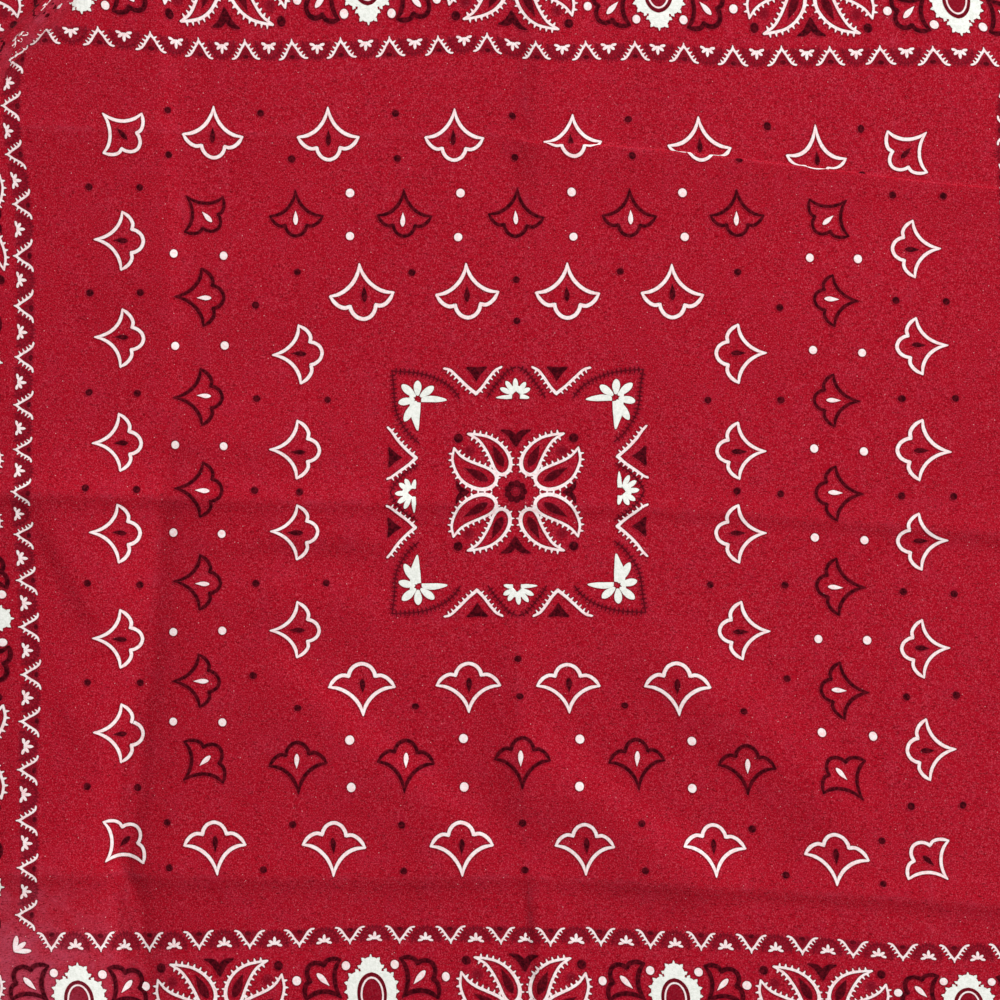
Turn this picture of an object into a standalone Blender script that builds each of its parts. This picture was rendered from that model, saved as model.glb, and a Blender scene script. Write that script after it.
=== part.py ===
"""A square cotton bandana, unfolded and laid out flat on a surface.

Pieces: one cut panel of thin cotton and four narrow rolled hems, one along each
edge.  The cloth still shows how it was kept folded: three creases across it,
three down it, a few slanting ones, and one high ridge near its top left corner.

The cloth is described in its own flat sheet first (u to the right, v up, zero at
the middle of the print).  The function lie() then lays that sheet down: it gives
the height of each point over the surface, and how far the folds draw it in.

Units are metres, +Z is up, the surface is z = 0, and the origin is the middle of
the cloth's outline on that surface.
"""
from collections import namedtuple

import bmesh
import bpy
import numpy as np

MM = 0.001

# Driving dimensions of the cut and sewn cloth.
CLOTH_WIDTH = 560 * MM
CLOTH_HEIGHT = 530 * MM
CLOTH_WALL = 1.0 * MM
HEM_WIDTH = 5.0 * MM
HEM_THICKNESS = 1.7 * MM
SEAM_GAP = 0.3 * MM

# How the sheet lies: pulled slightly out of square, a little wider below the
# middle than above it (over the given reach), and with slow in-plane waves.
LEAN_SIDEWAYS = -0.017
LEAN_DOWN = -0.011
WIDENING = -0.10
WIDENING_REACH = 140 * MM
WAVE = 0.9 * MM
WAVE_LENGTH_U = 310 * MM
WAVE_LENGTH_V = 370 * MM

# Lift under this height has settled flat, and the turn up from there is soft.
SETTLED = 0.40 * MM
SETTLED_TURN = 0.30 * MM
CREST_ROUND = 1.5 * MM

# Lines of the mesh: cells between one crease line and the next, and how much
# closer together they are beside a crease than on average.
COLUMN_CELLS = (17, 15, 12, 8)
ROW_CELLS = (9, 15, 12, 14)
CROWDING = 0.5

# Creases that run right across the sheet or right down it (millimetres): where
# each one passes, as pairs of u and v.
LOWER_LINE = ((-300, -147), (-140, -145), (0, -144.5), (70, -148.5), (180, -153), (300, -158))
MIDDLE_LINE = ((-300, -5), (-140, -3), (0, -4.5), (70, -7.5), (180, -13.5), (300, -20))
UPPER_LINE = ((-300, 134), (-140, 134), (0, 134), (70, 126), (180, 118), (300, 112))
LEFT_LINE = ((-138, -290), (-142, -200), (-146, -170), (-149, -138), (-145, -103), (-140, -70),
             (-136, -30), (-134, -5), (-127, 30), (-126, 100), (-128, 145), (-131, 290))
CENTRE_LINE = ((1.5, -290), (2, -150), (-2, -103), (1.5, 0), (4.5, 135), (5, 290))
RIGHT_LINE = ((150, -290), (151, -103), (153, 0), (144, 135), (147, 290))

# The folds.  path: points in millimetres; rise: height of the crest at each of
# them; left and right: how far the flanks reach, seen along the path; power: 1
# is a pressed crease, 2 a rounded hill.  A fold of negative rise presses a
# valley into the bank that it runs along.
Fold = namedtuple("Fold", "name path rise left right left_power right_power")
FOLDS = (
    Fold("lower", LOWER_LINE, (1.4, 1.5, 1.3, 1.5, 1.6, 1.4), 13, 4, 1, 1),
    Fold("middle", MIDDLE_LINE, (1.9, 2.0, 1.4, 1.2, 1.4, 1.2), 9, 4, 1, 1),
    Fold("upper", UPPER_LINE, (0.6, 0.6, 0.6, 1.6, 1.6, 1.4), 4, 13, 1, 1),
    Fold("left_bank",
         ((-176, -290), (-182, -200), (-184, -130), (-180, -60), (-172, 0), (-165, 60), (-165, 290)),
         (2.6, 3.8, 4.8, 5.2, 4.2, 1.2, 0.9), 40, 56, 2, 2),
    Fold("right_bank", ((-104, -290), (-106, -150), (-108, -80), (-104, -20), (-100, 22)),
         (1.0, 1.6, 2.2, 1.6, 0.0), 38, 50, 2, 2),
    Fold("left", LEFT_LINE,
         (-1.3, -2.2, -3.0, -3.6, -4.2, -4.2, -3.6, -2.2, 0.0, 0.0, 0.0, 0.0), 17, 9, 1, 1),
    Fold("left_high", ((-136, 20), (-133, 50), (-133, 100), (-135, 145), (-137, 290)),
         (0.0, 0.8, 0.85, 0.8, 0.5), 26, 5.5, 2, 2),
    Fold("left_slant", ((-184, 2), (-174, -18), (-160, -44), (-150, -64)),
         (0.0, 1.4, 1.4, 0.0), 24, 5.5, 2, 2),
    Fold("left_foot", ((-176, -62), (-163, -88), (-152, -110)), (0.0, 1.0, 0.0), 16, 7, 2, 2),
    Fold("above_middle", ((-156, 22), (-120, 20), (-80, 20), (-40, 24)),
         (0.0, 1.4, 1.3, 0.0), 18, 9, 2, 2),
    Fold("below_middle", ((-122, -22), (-90, -17), (-62, -17), (-34, -24)),
         (0.0, 1.2, 1.2, 0.0), 10, 5, 2, 2),
    Fold("belly", ((-118, -48), (-92, -40), (-62, -42), (-42, -54)),
         (0.0, 1.4, 1.2, 0.0), 11, 15, 2, 2),
    Fold("long_slant", ((-104, -57), (-92, -67), (-75, -81), (-49, -105), (-23, -126), (-4, -143)),
         (0.0, 1.3, 1.7, 1.8, 1.7, 0.0), 8, 24, 2, 2),
    Fold("mid_slant", ((-10, -86), (4, -99), (26, -117), (48, -134), (66, -145), (84, -152)),
         (0.0, 1.6, 2.1, 2.2, 2.0, 0.0), 11, 18, 2, 2),
    Fold("right_slant", ((36, -46), (54, -63), (84, -88), (117, -119), (138, -138)),
         (0.0, 1.6, 1.9, 1.7, 0.0), 17, 17, 2, 2),
    Fold("centre", ((0.5, -42), (0, -60), (-1, -95), (1, -116), (2, -132)),
         (0.0, 1.3, 1.6, 1.4, 0.0), 15, 13, 1, 1),
    Fold("centre_low", ((4, -140), (4, -156), (5, -180), (4, -230)),
         (0.0, 1.8, 1.7, 0.8), 14, 3.2, 2, 2),
    Fold("centre_high", ((8, 62), (9, 112), (10, 135), (11, 175), (12, 220)),
         (0.0, 1.0, 1.5, 1.5, 1.0), 9, 26, 2, 2),
    Fold("corner", ((-280, 82), (-232, 127), (-183, 172), (-139, 212), (-98, 249)),
         (0.0, 4.2, 5.2, 4.4, 0.0), 20, 34, 2, 2),
)

# Broad low swells where the sheet hasn't settled: middle and reach in
# millimetres, and height.
Swell = namedtuple("Swell", "u v reach_u reach_v rise")
SWELLS = (
    Swell(-222, -206, 46, 44, 3.8),
    Swell(-192, -92, 30, 52, 0.8),
    Swell(205, 35, 40, 48, 1.6),
    Swell(-92, 78, 36, 34, 1.2),
    Swell(72, 60, 44, 34, 1.0),
    Swell(215, -205, 40, 36, 1.8),
)

RED = (0.386, 0.012, 0.024)
HEM_RED = (0.330, 0.010, 0.020)


def clear_scene():
    """Remove every object, so that the file runs the same in a used session."""
    for item in list(bpy.data.objects):
        bpy.data.objects.remove(item, do_unlink=True)


def cotton(name, colour):
    """Plain woven cotton: matt, not metallic."""
    material = bpy.data.materials.new(name)
    material.use_nodes = True
    shader = material.node_tree.nodes["Principled BSDF"]
    shader.inputs["Base Color"].default_value = (*colour, 1.0)
    shader.inputs["Roughness"].default_value = 0.9
    shader.inputs["Metallic"].default_value = 0.0
    return material


def beside(u, v, path):
    """Signed distance from a path, positive on its left, and the place along it.

    The place is counted in points of the path, so 1.5 is half way between the
    second point and the third.
    """
    points = np.array(path) * MM
    nearest = np.full(np.shape(u), np.inf)
    side = np.zeros(np.shape(u))
    place = np.zeros(np.shape(u))
    for index, (start, end) in enumerate(zip(points[:-1], points[1:])):
        along = end - start
        length = np.hypot(*along)
        part = ((u - start[0]) * along[0] + (v - start[1]) * along[1]) / length ** 2
        part = np.clip(part, 0.0, 1.0)
        du = u - start[0] - part * along[0]
        dv = v - start[1] - part * along[1]
        distance = np.hypot(du, dv)
        closer = distance < nearest
        turn = along[0] * dv - along[1] * du
        nearest = np.where(closer, distance, nearest)
        side = np.where(closer, np.where(turn >= 0, distance, -distance), side)
        place = np.where(closer, index + part, place)
    return side, place


def flank(side, fold):
    """Share of the crest's height left at a signed distance from the crest."""
    reach = np.where(side > 0, fold.left, fold.right) * MM
    power = np.where(side > 0, fold.left_power, fold.right_power)
    rounded = np.sqrt(side ** 2 + CREST_ROUND ** 2) - CREST_ROUND
    distance = np.where(power == 1, rounded, np.abs(side))
    return np.exp(-(distance / reach) ** power)


def drawn_in(side, fold):
    """How far a fold at its full height pulls the cloth on its left towards it.

    A stretch of cloth that climbs covers less ground than its length.  The
    shortfall, 1 - sqrt(1 - slope squared), is added up across the section.
    """
    span = np.arange(-0.15, 0.1501, 0.0005)
    height = max(fold.rise, key=abs) * MM * flank(span, fold)
    slope = np.clip(np.gradient(height, span), -0.97, 0.97)
    shortfall = np.cumsum(1.0 - np.sqrt(1.0 - slope ** 2)) * 0.0005
    return np.interp(side, span, shortfall)


def lie(u, v):
    """Lay the flat sheet down: x, y and z of the cloth's underside at (u, v).

    Folds whose left side looks away from the middle pull that side in.  A fold
    whose right side looks away is read the other way round.
    """
    height = np.zeros(np.shape(u))
    shift_u = np.zeros(np.shape(u))
    shift_v = np.zeros(np.shape(u))
    for fold in FOLDS:
        side, place = beside(u, v, fold.path)
        highest = max(fold.rise, key=abs)
        share = np.interp(place, range(len(fold.rise)), fold.rise) / highest
        height = height + share * highest * MM * flank(side, fold)
        run = np.subtract(fold.path[-1], fold.path[0])
        run = run / np.hypot(*run)
        start = np.array(fold.path[0])
        middle_is_left = run[0] * -start[1] - run[1] * -start[0] > 0
        whole = drawn_in(1.0, fold)
        pull = drawn_in(side, fold) - (whole if middle_is_left else 0.0)
        shift_u = shift_u + run[1] * pull * share ** 2
        shift_v = shift_v - run[0] * pull * share ** 2
    for swell in SWELLS:
        far = ((u - swell.u * MM) / (swell.reach_u * MM)) ** 2
        far = far + ((v - swell.v * MM) / (swell.reach_v * MM)) ** 2
        height = height + swell.rise * MM * np.exp(-far)
    lifted = np.maximum(height - SETTLED, 0.0)
    z = lifted ** 2 / (lifted + SETTLED_TURN)
    sheet_u = u + shift_u
    sheet_v = v + shift_v
    wider = WIDENING * WIDENING_REACH * np.sin(sheet_v / WIDENING_REACH)
    x = sheet_u * (1.0 + wider) + LEAN_SIDEWAYS * sheet_v
    y = sheet_v + LEAN_DOWN * sheet_u
    x = x + WAVE * np.sin(2 * np.pi * sheet_v / WAVE_LENGTH_V)
    y = y + WAVE * np.sin(2 * np.pi * sheet_u / WAVE_LENGTH_U)
    return x, y, z


def line_at(path, along, axis):
    """Where a crease line passes, as a smooth function of the other coordinate."""
    points = np.array(path) * MM
    stations = points[:, axis]
    values = points[:, 1 - axis]
    near = [np.interp(along + step * MM, stations, values) for step in (-18, -9, 0, 9, 18)]
    return sum(near) / len(near)


def between_lines(share, along, lines, edge, cells, axis):
    """Spread mesh lines from edge to edge so that the crease lines are among them.

    share runs from 0 to 1 over the whole cloth.  In each zone between two lines
    the spacing is share - crowding * sin(2 pi share) / (2 pi), closer at its ends.
    """
    counts = np.concatenate(([0], np.cumsum(cells)))
    marks = [np.full(np.shape(along), -edge)]
    marks += [line_at(path, along, axis) for path in lines]
    marks += [np.full(np.shape(along), edge)]
    step = share * counts[-1]
    result = np.zeros(np.shape(along))
    for zone in range(len(cells)):
        part = np.clip((step - counts[zone]) / cells[zone], 0.0, 1.0)
        part = part - CROWDING * np.sin(2 * np.pi * part) / (2 * np.pi)
        inside = (step >= counts[zone]) & (step <= counts[zone + 1])
        position = marks[zone] * (1.0 - part) + marks[zone + 1] * part
        result = np.where(inside, position, result)
    return result


def sheet_point(across, up, half_u, half_v):
    """Sheet coordinates of a mesh point, from its share across and up the cloth."""
    u = (across * 2.0 - 1.0) * half_u
    v = (up * 2.0 - 1.0) * half_v
    for _ in range(4):
        v = between_lines(up, u, (LOWER_LINE, MIDDLE_LINE, UPPER_LINE), half_v, ROW_CELLS, 0)
        u = between_lines(across, v, (LEFT_LINE, CENTRE_LINE, RIGHT_LINE), half_u,
                          COLUMN_CELLS, 1)
    return u, v


def add_piece(mesh, name, material, collection):
    """Put a finished mesh into the scene as a named piece of the cloth."""
    mesh.materials.append(material)
    piece = bpy.data.objects.new(name, mesh)
    collection.objects.link(piece)
    return piece


def build_panel(material, collection):
    """The cut panel: a grid laid over the surface, thickened upwards to a wall."""
    half_u = CLOTH_WIDTH / 2 - HEM_WIDTH - SEAM_GAP
    half_v = CLOTH_HEIGHT / 2 - HEM_WIDTH - SEAM_GAP
    grid = bmesh.new()
    bmesh.ops.create_grid(grid, x_segments=sum(COLUMN_CELLS), y_segments=sum(ROW_CELLS),
                          size=0.5)
    places = np.array([vertex.co[:2] for vertex in grid.verts]) + 0.5
    u, v = sheet_point(places[:, 0], places[:, 1], half_u, half_v)
    for vertex, place in zip(grid.verts, np.stack(lie(u, v), axis=1)):
        vertex.co = place
    mesh = bpy.data.meshes.new("panel")
    grid.to_mesh(mesh)
    grid.free()
    panel = add_piece(mesh, "panel", material, collection)
    wall = panel.modifiers.new("wall", "SOLIDIFY")
    wall.thickness = CLOTH_WALL
    wall.offset = 1.0
    wall.use_even_offset = True
    return panel


def build_hem(name, side, material, collection):
    """A rolled hem: a low rounded section carried along one edge of the cloth.

    side is top, bottom, left or right.  The section is given by how far each of
    its corners is from the panel and how high it stands.
    """
    width, thick = HEM_WIDTH, HEM_THICKNESS
    section = ((0.0, 0.55 * thick), (0.12 * width, 0.0), (0.88 * width, 0.0),
               (width, 0.45 * thick), (0.80 * width, thick), (0.20 * width, 0.95 * thick))
    half_u = CLOTH_WIDTH / 2 - HEM_WIDTH
    half_v = CLOTH_HEIGHT / 2 - HEM_WIDTH
    level = side in ("top", "bottom")
    cells = COLUMN_CELLS if level else ROW_CELLS
    share = np.linspace(0.0, 1.0, sum(cells) + 1)
    sign = 1.0 if side in ("top", "right") else -1.0
    if level:
        lines = (LEFT_LINE, CENTRE_LINE, RIGHT_LINE)
        edge_v = np.full(share.shape, sign * half_v)
        run = between_lines(share, edge_v, lines, CLOTH_WIDTH / 2, cells, 1)
    else:
        lines = (LOWER_LINE, MIDDLE_LINE, UPPER_LINE)
        edge_u = np.full(share.shape, sign * half_u)
        run = between_lines(share, edge_u, lines, half_v - SEAM_GAP, cells, 0)
    rings = []
    for out, up in section:
        u = run if level else np.full(run.shape, sign * (half_u + out))
        v = np.full(run.shape, sign * (half_v + out)) if level else run
        x, y, z = lie(u, v)
        rings.append(np.stack((x, y, z + up), axis=1))
    points = np.stack(rings, axis=1)
    stations, corners = points.shape[:2]
    index = np.arange(stations * corners).reshape(stations, corners)
    after = np.roll(index, -1, axis=1)
    walls = np.stack((index[:-1], after[:-1], after[1:], index[1:]), axis=-1).reshape(-1, 4)
    faces = walls.tolist() + [index[0].tolist(), index[-1].tolist()]
    mesh = bpy.data.meshes.new(name)
    mesh.from_pydata(points.reshape(-1, 3).tolist(), [], faces)
    shape = bmesh.new()
    shape.from_mesh(mesh)
    bmesh.ops.recalc_face_normals(shape, faces=shape.faces)
    shape.to_mesh(mesh)
    shape.free()
    return add_piece(mesh, name, material, collection)


def centre_on_origin(pieces):
    """Move every piece alike, so that the outline's middle is the origin."""
    bpy.context.view_layer.update()
    corners = np.array([piece.matrix_world @ vertex.co for piece in pieces
                        for vertex in piece.data.vertices])
    middle = (corners.min(axis=0) + corners.max(axis=0)) / 2
    for piece in pieces:
        piece.location = (-middle[0], -middle[1], 0.0)


clear_scene()
bandana = bpy.data.collections.new("bandana")
bpy.context.scene.collection.children.link(bandana)
panel_cotton = cotton("red_cotton", RED)
hem_cotton = cotton("rolled_hem_cotton", HEM_RED)
pieces = [build_panel(panel_cotton, bandana)]
for hem_side in ("top", "bottom", "left", "right"):
    pieces.append(build_hem("hem_" + hem_side, hem_side, hem_cotton, bandana))
centre_on_origin(pieces)
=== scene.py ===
"""A square cotton bandana, unfolded and laid flat: its cloth, hems and print.

The sections follow the making of the real one: the woven and dyed cloth with the
creases it was stored in, the rolled and stitched hems, the white and the dark
print, and last the surface it lies on, the light and the camera.

Units are metres.  The flat sheet has its own coordinates: u to the right, v up,
zero in the middle of the print.
"""
from collections import namedtuple

import bpy
import numpy as np
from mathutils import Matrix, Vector


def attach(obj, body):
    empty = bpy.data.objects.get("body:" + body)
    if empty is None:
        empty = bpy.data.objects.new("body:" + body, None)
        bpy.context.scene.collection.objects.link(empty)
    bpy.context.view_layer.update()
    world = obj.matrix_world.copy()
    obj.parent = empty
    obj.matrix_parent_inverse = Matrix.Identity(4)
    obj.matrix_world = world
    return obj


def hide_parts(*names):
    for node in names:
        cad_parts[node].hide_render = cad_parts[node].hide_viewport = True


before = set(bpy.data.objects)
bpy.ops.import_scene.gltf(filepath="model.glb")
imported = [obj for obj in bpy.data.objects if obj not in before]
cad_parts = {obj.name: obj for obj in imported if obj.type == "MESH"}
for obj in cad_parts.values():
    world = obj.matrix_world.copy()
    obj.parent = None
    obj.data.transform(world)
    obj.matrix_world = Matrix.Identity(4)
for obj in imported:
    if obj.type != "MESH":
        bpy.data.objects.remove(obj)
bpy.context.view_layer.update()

# ---------------------------------------------------------------- the cloth, laid down
# The panel is one cut of thin plain-woven cotton.  It was kept folded in quarters and
# has been opened out by hand, so it lies flat but for its creases: three across, three
# down, a few slanting ones, a pressed tuck at the upper right and one high rumple.

MM = 0.001
CLOTH_WIDTH = 560 * MM
CLOTH_HEIGHT = 530 * MM
CLOTH_THICKNESS = 0.25 * MM
HEM_WIDTH = 5.0 * MM
UNDER_HEM = 1.2 * MM

# How the whole sheet leans, narrows upwards and waves in its own plane; then the height
# below which it has settled flat, and how softly it turns up out of the flat.
LEAN_SIDEWAYS = -0.017
LEAN_DOWN = -0.011
WIDENING = -0.10
WIDENING_REACH = 140 * MM
WAVE = 0.9 * MM
WAVE_LENGTH_U = 310 * MM
WAVE_LENGTH_V = 370 * MM
SETTLED = 0.40 * MM
SETTLED_TURN = 0.30 * MM

# Where the six storage creases run, in millimetres.
LOWER_LINE = ((-300, -147), (-140, -145), (0, -144.5), (70, -148.5), (180, -153), (300, -158))
MIDDLE_LINE = ((-300, -5), (-140, -3), (0, -4.5), (70, -7.5), (180, -13.5), (300, -20))
UPPER_LINE = ((-300, 134), (-140, 134), (0, 134), (70, 126), (180, 118), (300, 112))
LEFT_LINE = ((-138, -290), (-142, -200), (-146, -170), (-149, -138), (-145, -103), (-140, -70),
             (-136, -30), (-134, -5), (-127, 30), (-126, 100), (-128, 145), (-131, 290))
CENTRE_LINE = ((1.5, -290), (2, -150), (-2, -103), (1.5, 0), (4.5, 135), (5, 290))
RIGHT_LINE = ((150, -290), (151, -103), (153, 0), (144, 135), (147, 290))

# A fold's path in millimetres; the rise of its crest at each of the path's points; how
# far its flanks reach to the left and right of it; power 1 is a pressed crease, whose
# crest is rounded off a little, and 2 a rounded hill.  A fold of negative rise presses a
# valley into the bank it runs along.
CREST_ROUND = 1.5 * MM
Fold = namedtuple("Fold", "name path rise left right left_power right_power")
FOLDS = (
    Fold("lower", LOWER_LINE, (1.4, 1.5, 1.3, 1.5, 1.6, 1.4), 13, 4, 1, 1),
    Fold("middle", MIDDLE_LINE, (1.9, 2.0, 1.4, 1.2, 1.4, 1.2), 9, 4, 1, 1),
    Fold("upper", UPPER_LINE, (0.6, 0.6, 0.6, 0.6, 0.6, 0.6), 4, 13, 1, 1),
    Fold("left_bank",
         ((-176, -290), (-182, -200), (-184, -130), (-180, -60), (-172, 0), (-165, 60), (-165, 290)),
         (2.6, 3.8, 4.8, 5.2, 4.2, 1.2, 0.9), 40, 56, 2, 2),
    Fold("right_bank", ((-104, -290), (-106, -150), (-108, -80), (-104, -20), (-100, 22)),
         (1.0, 1.6, 2.2, 1.6, 0.0), 38, 50, 2, 2),
    Fold("left", LEFT_LINE,
         (-1.3, -2.2, -3.0, -3.6, -4.2, -4.2, -3.6, -2.2, 0.0, 0.0, 0.0, 0.0), 17, 9, 1, 1),
    Fold("left_low", ((-142, -85), (-149, -138), (-146, -170), (-142, -230)),
         (0.0, -1.2, -1.3, -0.8), 4, 4, 1, 1),
    Fold("left_high", ((-136, 20), (-133, 50), (-133, 100), (-135, 145), (-137, 290)),
         (0.0, 0.8, 0.85, 0.8, 0.5), 26, 5.5, 2, 2),
    Fold("left_slant", ((-184, 2), (-174, -18), (-160, -44), (-150, -64)),
         (0.0, 1.4, 1.4, 0.0), 24, 5.5, 2, 2),
    Fold("left_foot", ((-176, -62), (-163, -88), (-152, -110)), (0.0, 1.0, 0.0), 16, 7, 2, 2),
    Fold("above_middle", ((-156, 22), (-120, 20), (-80, 20), (-40, 24)),
         (0.0, 1.4, 1.3, 0.0), 18, 9, 2, 2),
    Fold("below_middle", ((-122, -22), (-90, -17), (-62, -17), (-34, -24)),
         (0.0, 1.2, 1.2, 0.0), 10, 5, 2, 2),
    Fold("belly", ((-118, -48), (-92, -40), (-62, -42), (-42, -54)),
         (0.0, 1.4, 1.2, 0.0), 11, 15, 2, 2),
    Fold("long_slant", ((-104, -57), (-92, -67), (-75, -81), (-49, -105), (-23, -126), (-4, -143)),
         (0.0, 1.3, 1.7, 1.8, 1.7, 0.0), 8, 24, 2, 2),
    Fold("mid_slant", ((-10, -86), (4, -99), (26, -117), (48, -134), (66, -145), (84, -152)),
         (0.0, 1.6, 2.1, 2.2, 2.0, 0.0), 11, 18, 2, 2),
    Fold("right_slant", ((36, -46), (54, -63), (84, -88), (117, -119), (138, -138)),
         (0.0, 1.6, 1.9, 1.7, 0.0), 17, 17, 2, 2),
    Fold("centre", ((0.5, -42), (0, -60), (-1, -95), (1, -116), (2, -132)),
         (0.0, 1.3, 1.6, 1.4, 0.0), 15, 13, 1, 1),
    Fold("centre_low", ((4, -140), (4, -156), (5, -180), (4, -230)),
         (0.0, 1.8, 1.7, 0.8), 14, 3.2, 2, 2),
    Fold("centre_high", ((8, 62), (9, 112), (10, 135), (11, 175), (12, 220)),
         (0.0, 1.0, 1.5, 1.5, 1.0), 9, 26, 2, 2),
    Fold("corner", ((-280, 82), (-232, 127), (-183, 172), (-139, 212), (-98, 249)),
         (0.0, 4.2, 5.2, 4.4, 0.0), 20, 34, 2, 2),
    Fold("crumple_near", ((-225, 125), (-199, 151.5), (-175.5, 174.5), (-153, 197.5), (-121, 228)),
         (0.0, 3.2, 3.5, 3.2, 0.0), 2.9, 2.9, 2, 2),
    Fold("crumple_middle", ((-228, 132), (-203, 157), (-180, 179.5), (-157, 203), (-126, 233)),
         (0.0, 3.3, 3.5, 3.1, 0.0), 2.9, 2.9, 2, 2),
    Fold("crumple_far", ((-232, 137), (-207, 162.5), (-184.5, 184.5), (-162, 207), (-132, 236)),
         (0.0, 3.1, 3.5, 3.2, 0.0), 2.9, 2.9, 2, 2),
)

# A swell is a low soft hill: its middle, its reach each way and its rise.
Swell = namedtuple("Swell", "u v reach_u reach_v rise")
SWELLS = (
    Swell(-222, -206, 46, 44, 3.8),
    Swell(-192, -92, 30, 52, 0.8),
    Swell(205, 35, 40, 48, 1.6),
    Swell(-92, 78, 36, 34, 1.2),
    Swell(72, 60, 44, 34, 1.0),
    Swell(215, -205, 40, 36, 1.8),
)

# The tuck: the cloth above the upper crease is squeezed together against the cloth below,
# by twice the lap.  It sets in a little left of the middle and fades in to the right.
TUCK_LINE = ((-300, 135), (-5, 135), (10, 135.5), (30, 134.5), (68, 131.5), (102, 127.5),
             (130, 125), (157, 122), (180, 121), (300, 113.5))
TUCK_LAP = 1.8 * MM
TUCK_STARTS = -12 * MM
TUCK_FADES_IN = 22 * MM
TUCK_HEIGHT = 0.5 * MM
TUCK_TURN = 0.85 * MM
TUCK_FLATTENS = 12 * MM

# How finely and how far out a fold's flanks are added up, and the steepest they count;
# how far apart a crease line is averaged, in millimetres; samples along each edge.
FLANK_SPAN = 150 * MM
FLANK_STEP = 0.5 * MM
STEEPEST = 0.97
CREASE_SMOOTHING = (-18, -9, 0, 9, 18)
OUTLINE_SAMPLES = 400


def beside(u, v, path):
    """Signed distance from a path, positive on its left, and the place along it.

    For each straight stretch the foot of the perpendicular is kept inside the
    stretch, and the nearest stretch wins.  The place counts points of the path.
    """
    points = np.array(path) * MM
    nearest = np.full(np.shape(u), np.inf)
    side = np.zeros(np.shape(u))
    place = np.zeros(np.shape(u))
    for index, (start, end) in enumerate(zip(points[:-1], points[1:])):
        along = end - start
        length = np.hypot(*along)
        part = ((u - start[0]) * along[0] + (v - start[1]) * along[1]) / length ** 2
        part = np.clip(part, 0.0, 1.0)
        du = u - start[0] - part * along[0]
        dv = v - start[1] - part * along[1]
        distance = np.hypot(du, dv)
        closer = distance < nearest
        turn = along[0] * dv - along[1] * du
        nearest = np.where(closer, distance, nearest)
        side = np.where(closer, np.where(turn >= 0, distance, -distance), side)
        place = np.where(closer, index + part, place)
    return side, place


def flank(side, fold):
    """Height left at a distance from the crest: exp(-(distance / reach) ** power)."""
    reach = np.where(side > 0, fold.left, fold.right) * MM
    power = np.where(side > 0, fold.left_power, fold.right_power)
    rounded = np.sqrt(side ** 2 + CREST_ROUND ** 2) - CREST_ROUND
    distance = np.where(power == 1, rounded, np.abs(side))
    return np.exp(-(distance / reach) ** power)


def drawn_in(side, fold):
    """How far a fold pulls in the cloth on its left: the sum of 1 - sqrt(1 - slope^2)."""
    span = np.arange(-FLANK_SPAN, FLANK_SPAN + FLANK_STEP / 5, FLANK_STEP)
    height = max(fold.rise, key=abs) * MM * flank(span, fold)
    slope = np.clip(np.gradient(height, span), -STEEPEST, STEEPEST)
    shortfall = np.cumsum(1.0 - np.sqrt(1.0 - slope ** 2)) * FLANK_STEP
    return np.interp(side, span, shortfall)


def line_at(path, along, axis):
    """Where a crease line passes, averaged over a few places beside it to round its bends."""
    points = np.array(path) * MM
    near = [np.interp(along + step * MM, points[:, axis], points[:, 1 - axis])
            for step in CREASE_SMOOTHING]
    return sum(near) / len(near)


def tuck(u, v):
    """Shift along v and height of the cloth at the distance s below the tuck's line.

    shift = -2 lap + 2 (ramp(s - lap) - ramp(s - 2 lap)), so that the cloth stands
    nearly upright between two soft turns; the height rises by half at each of them and
    falls away again below.
    """
    fade = np.clip((u - TUCK_STARTS) / TUCK_FADES_IN, 0.0, 1.0)
    fade = fade * fade * (3.0 - 2.0 * fade)
    lap = TUCK_LAP * fade
    s = line_at(TUCK_LINE, u, 0) - v
    first = (s - lap) / TUCK_TURN
    second = (s - 2.0 * lap) / TUCK_TURN
    ramps = np.logaddexp(0.0, first) - np.logaddexp(0.0, second)
    shift = -2.0 * lap + 2.0 * TUCK_TURN * ramps
    steps = 0.5 / (1.0 + np.exp(-np.clip(first, -40, 40)))
    steps = steps + 0.5 / (1.0 + np.exp(-np.clip(second, -40, 40)))
    beyond = np.maximum(s - 2.0 * lap, 0.0) / TUCK_FLATTENS
    return shift, TUCK_HEIGHT * fade * steps * np.exp(-beyond ** 2)


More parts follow.
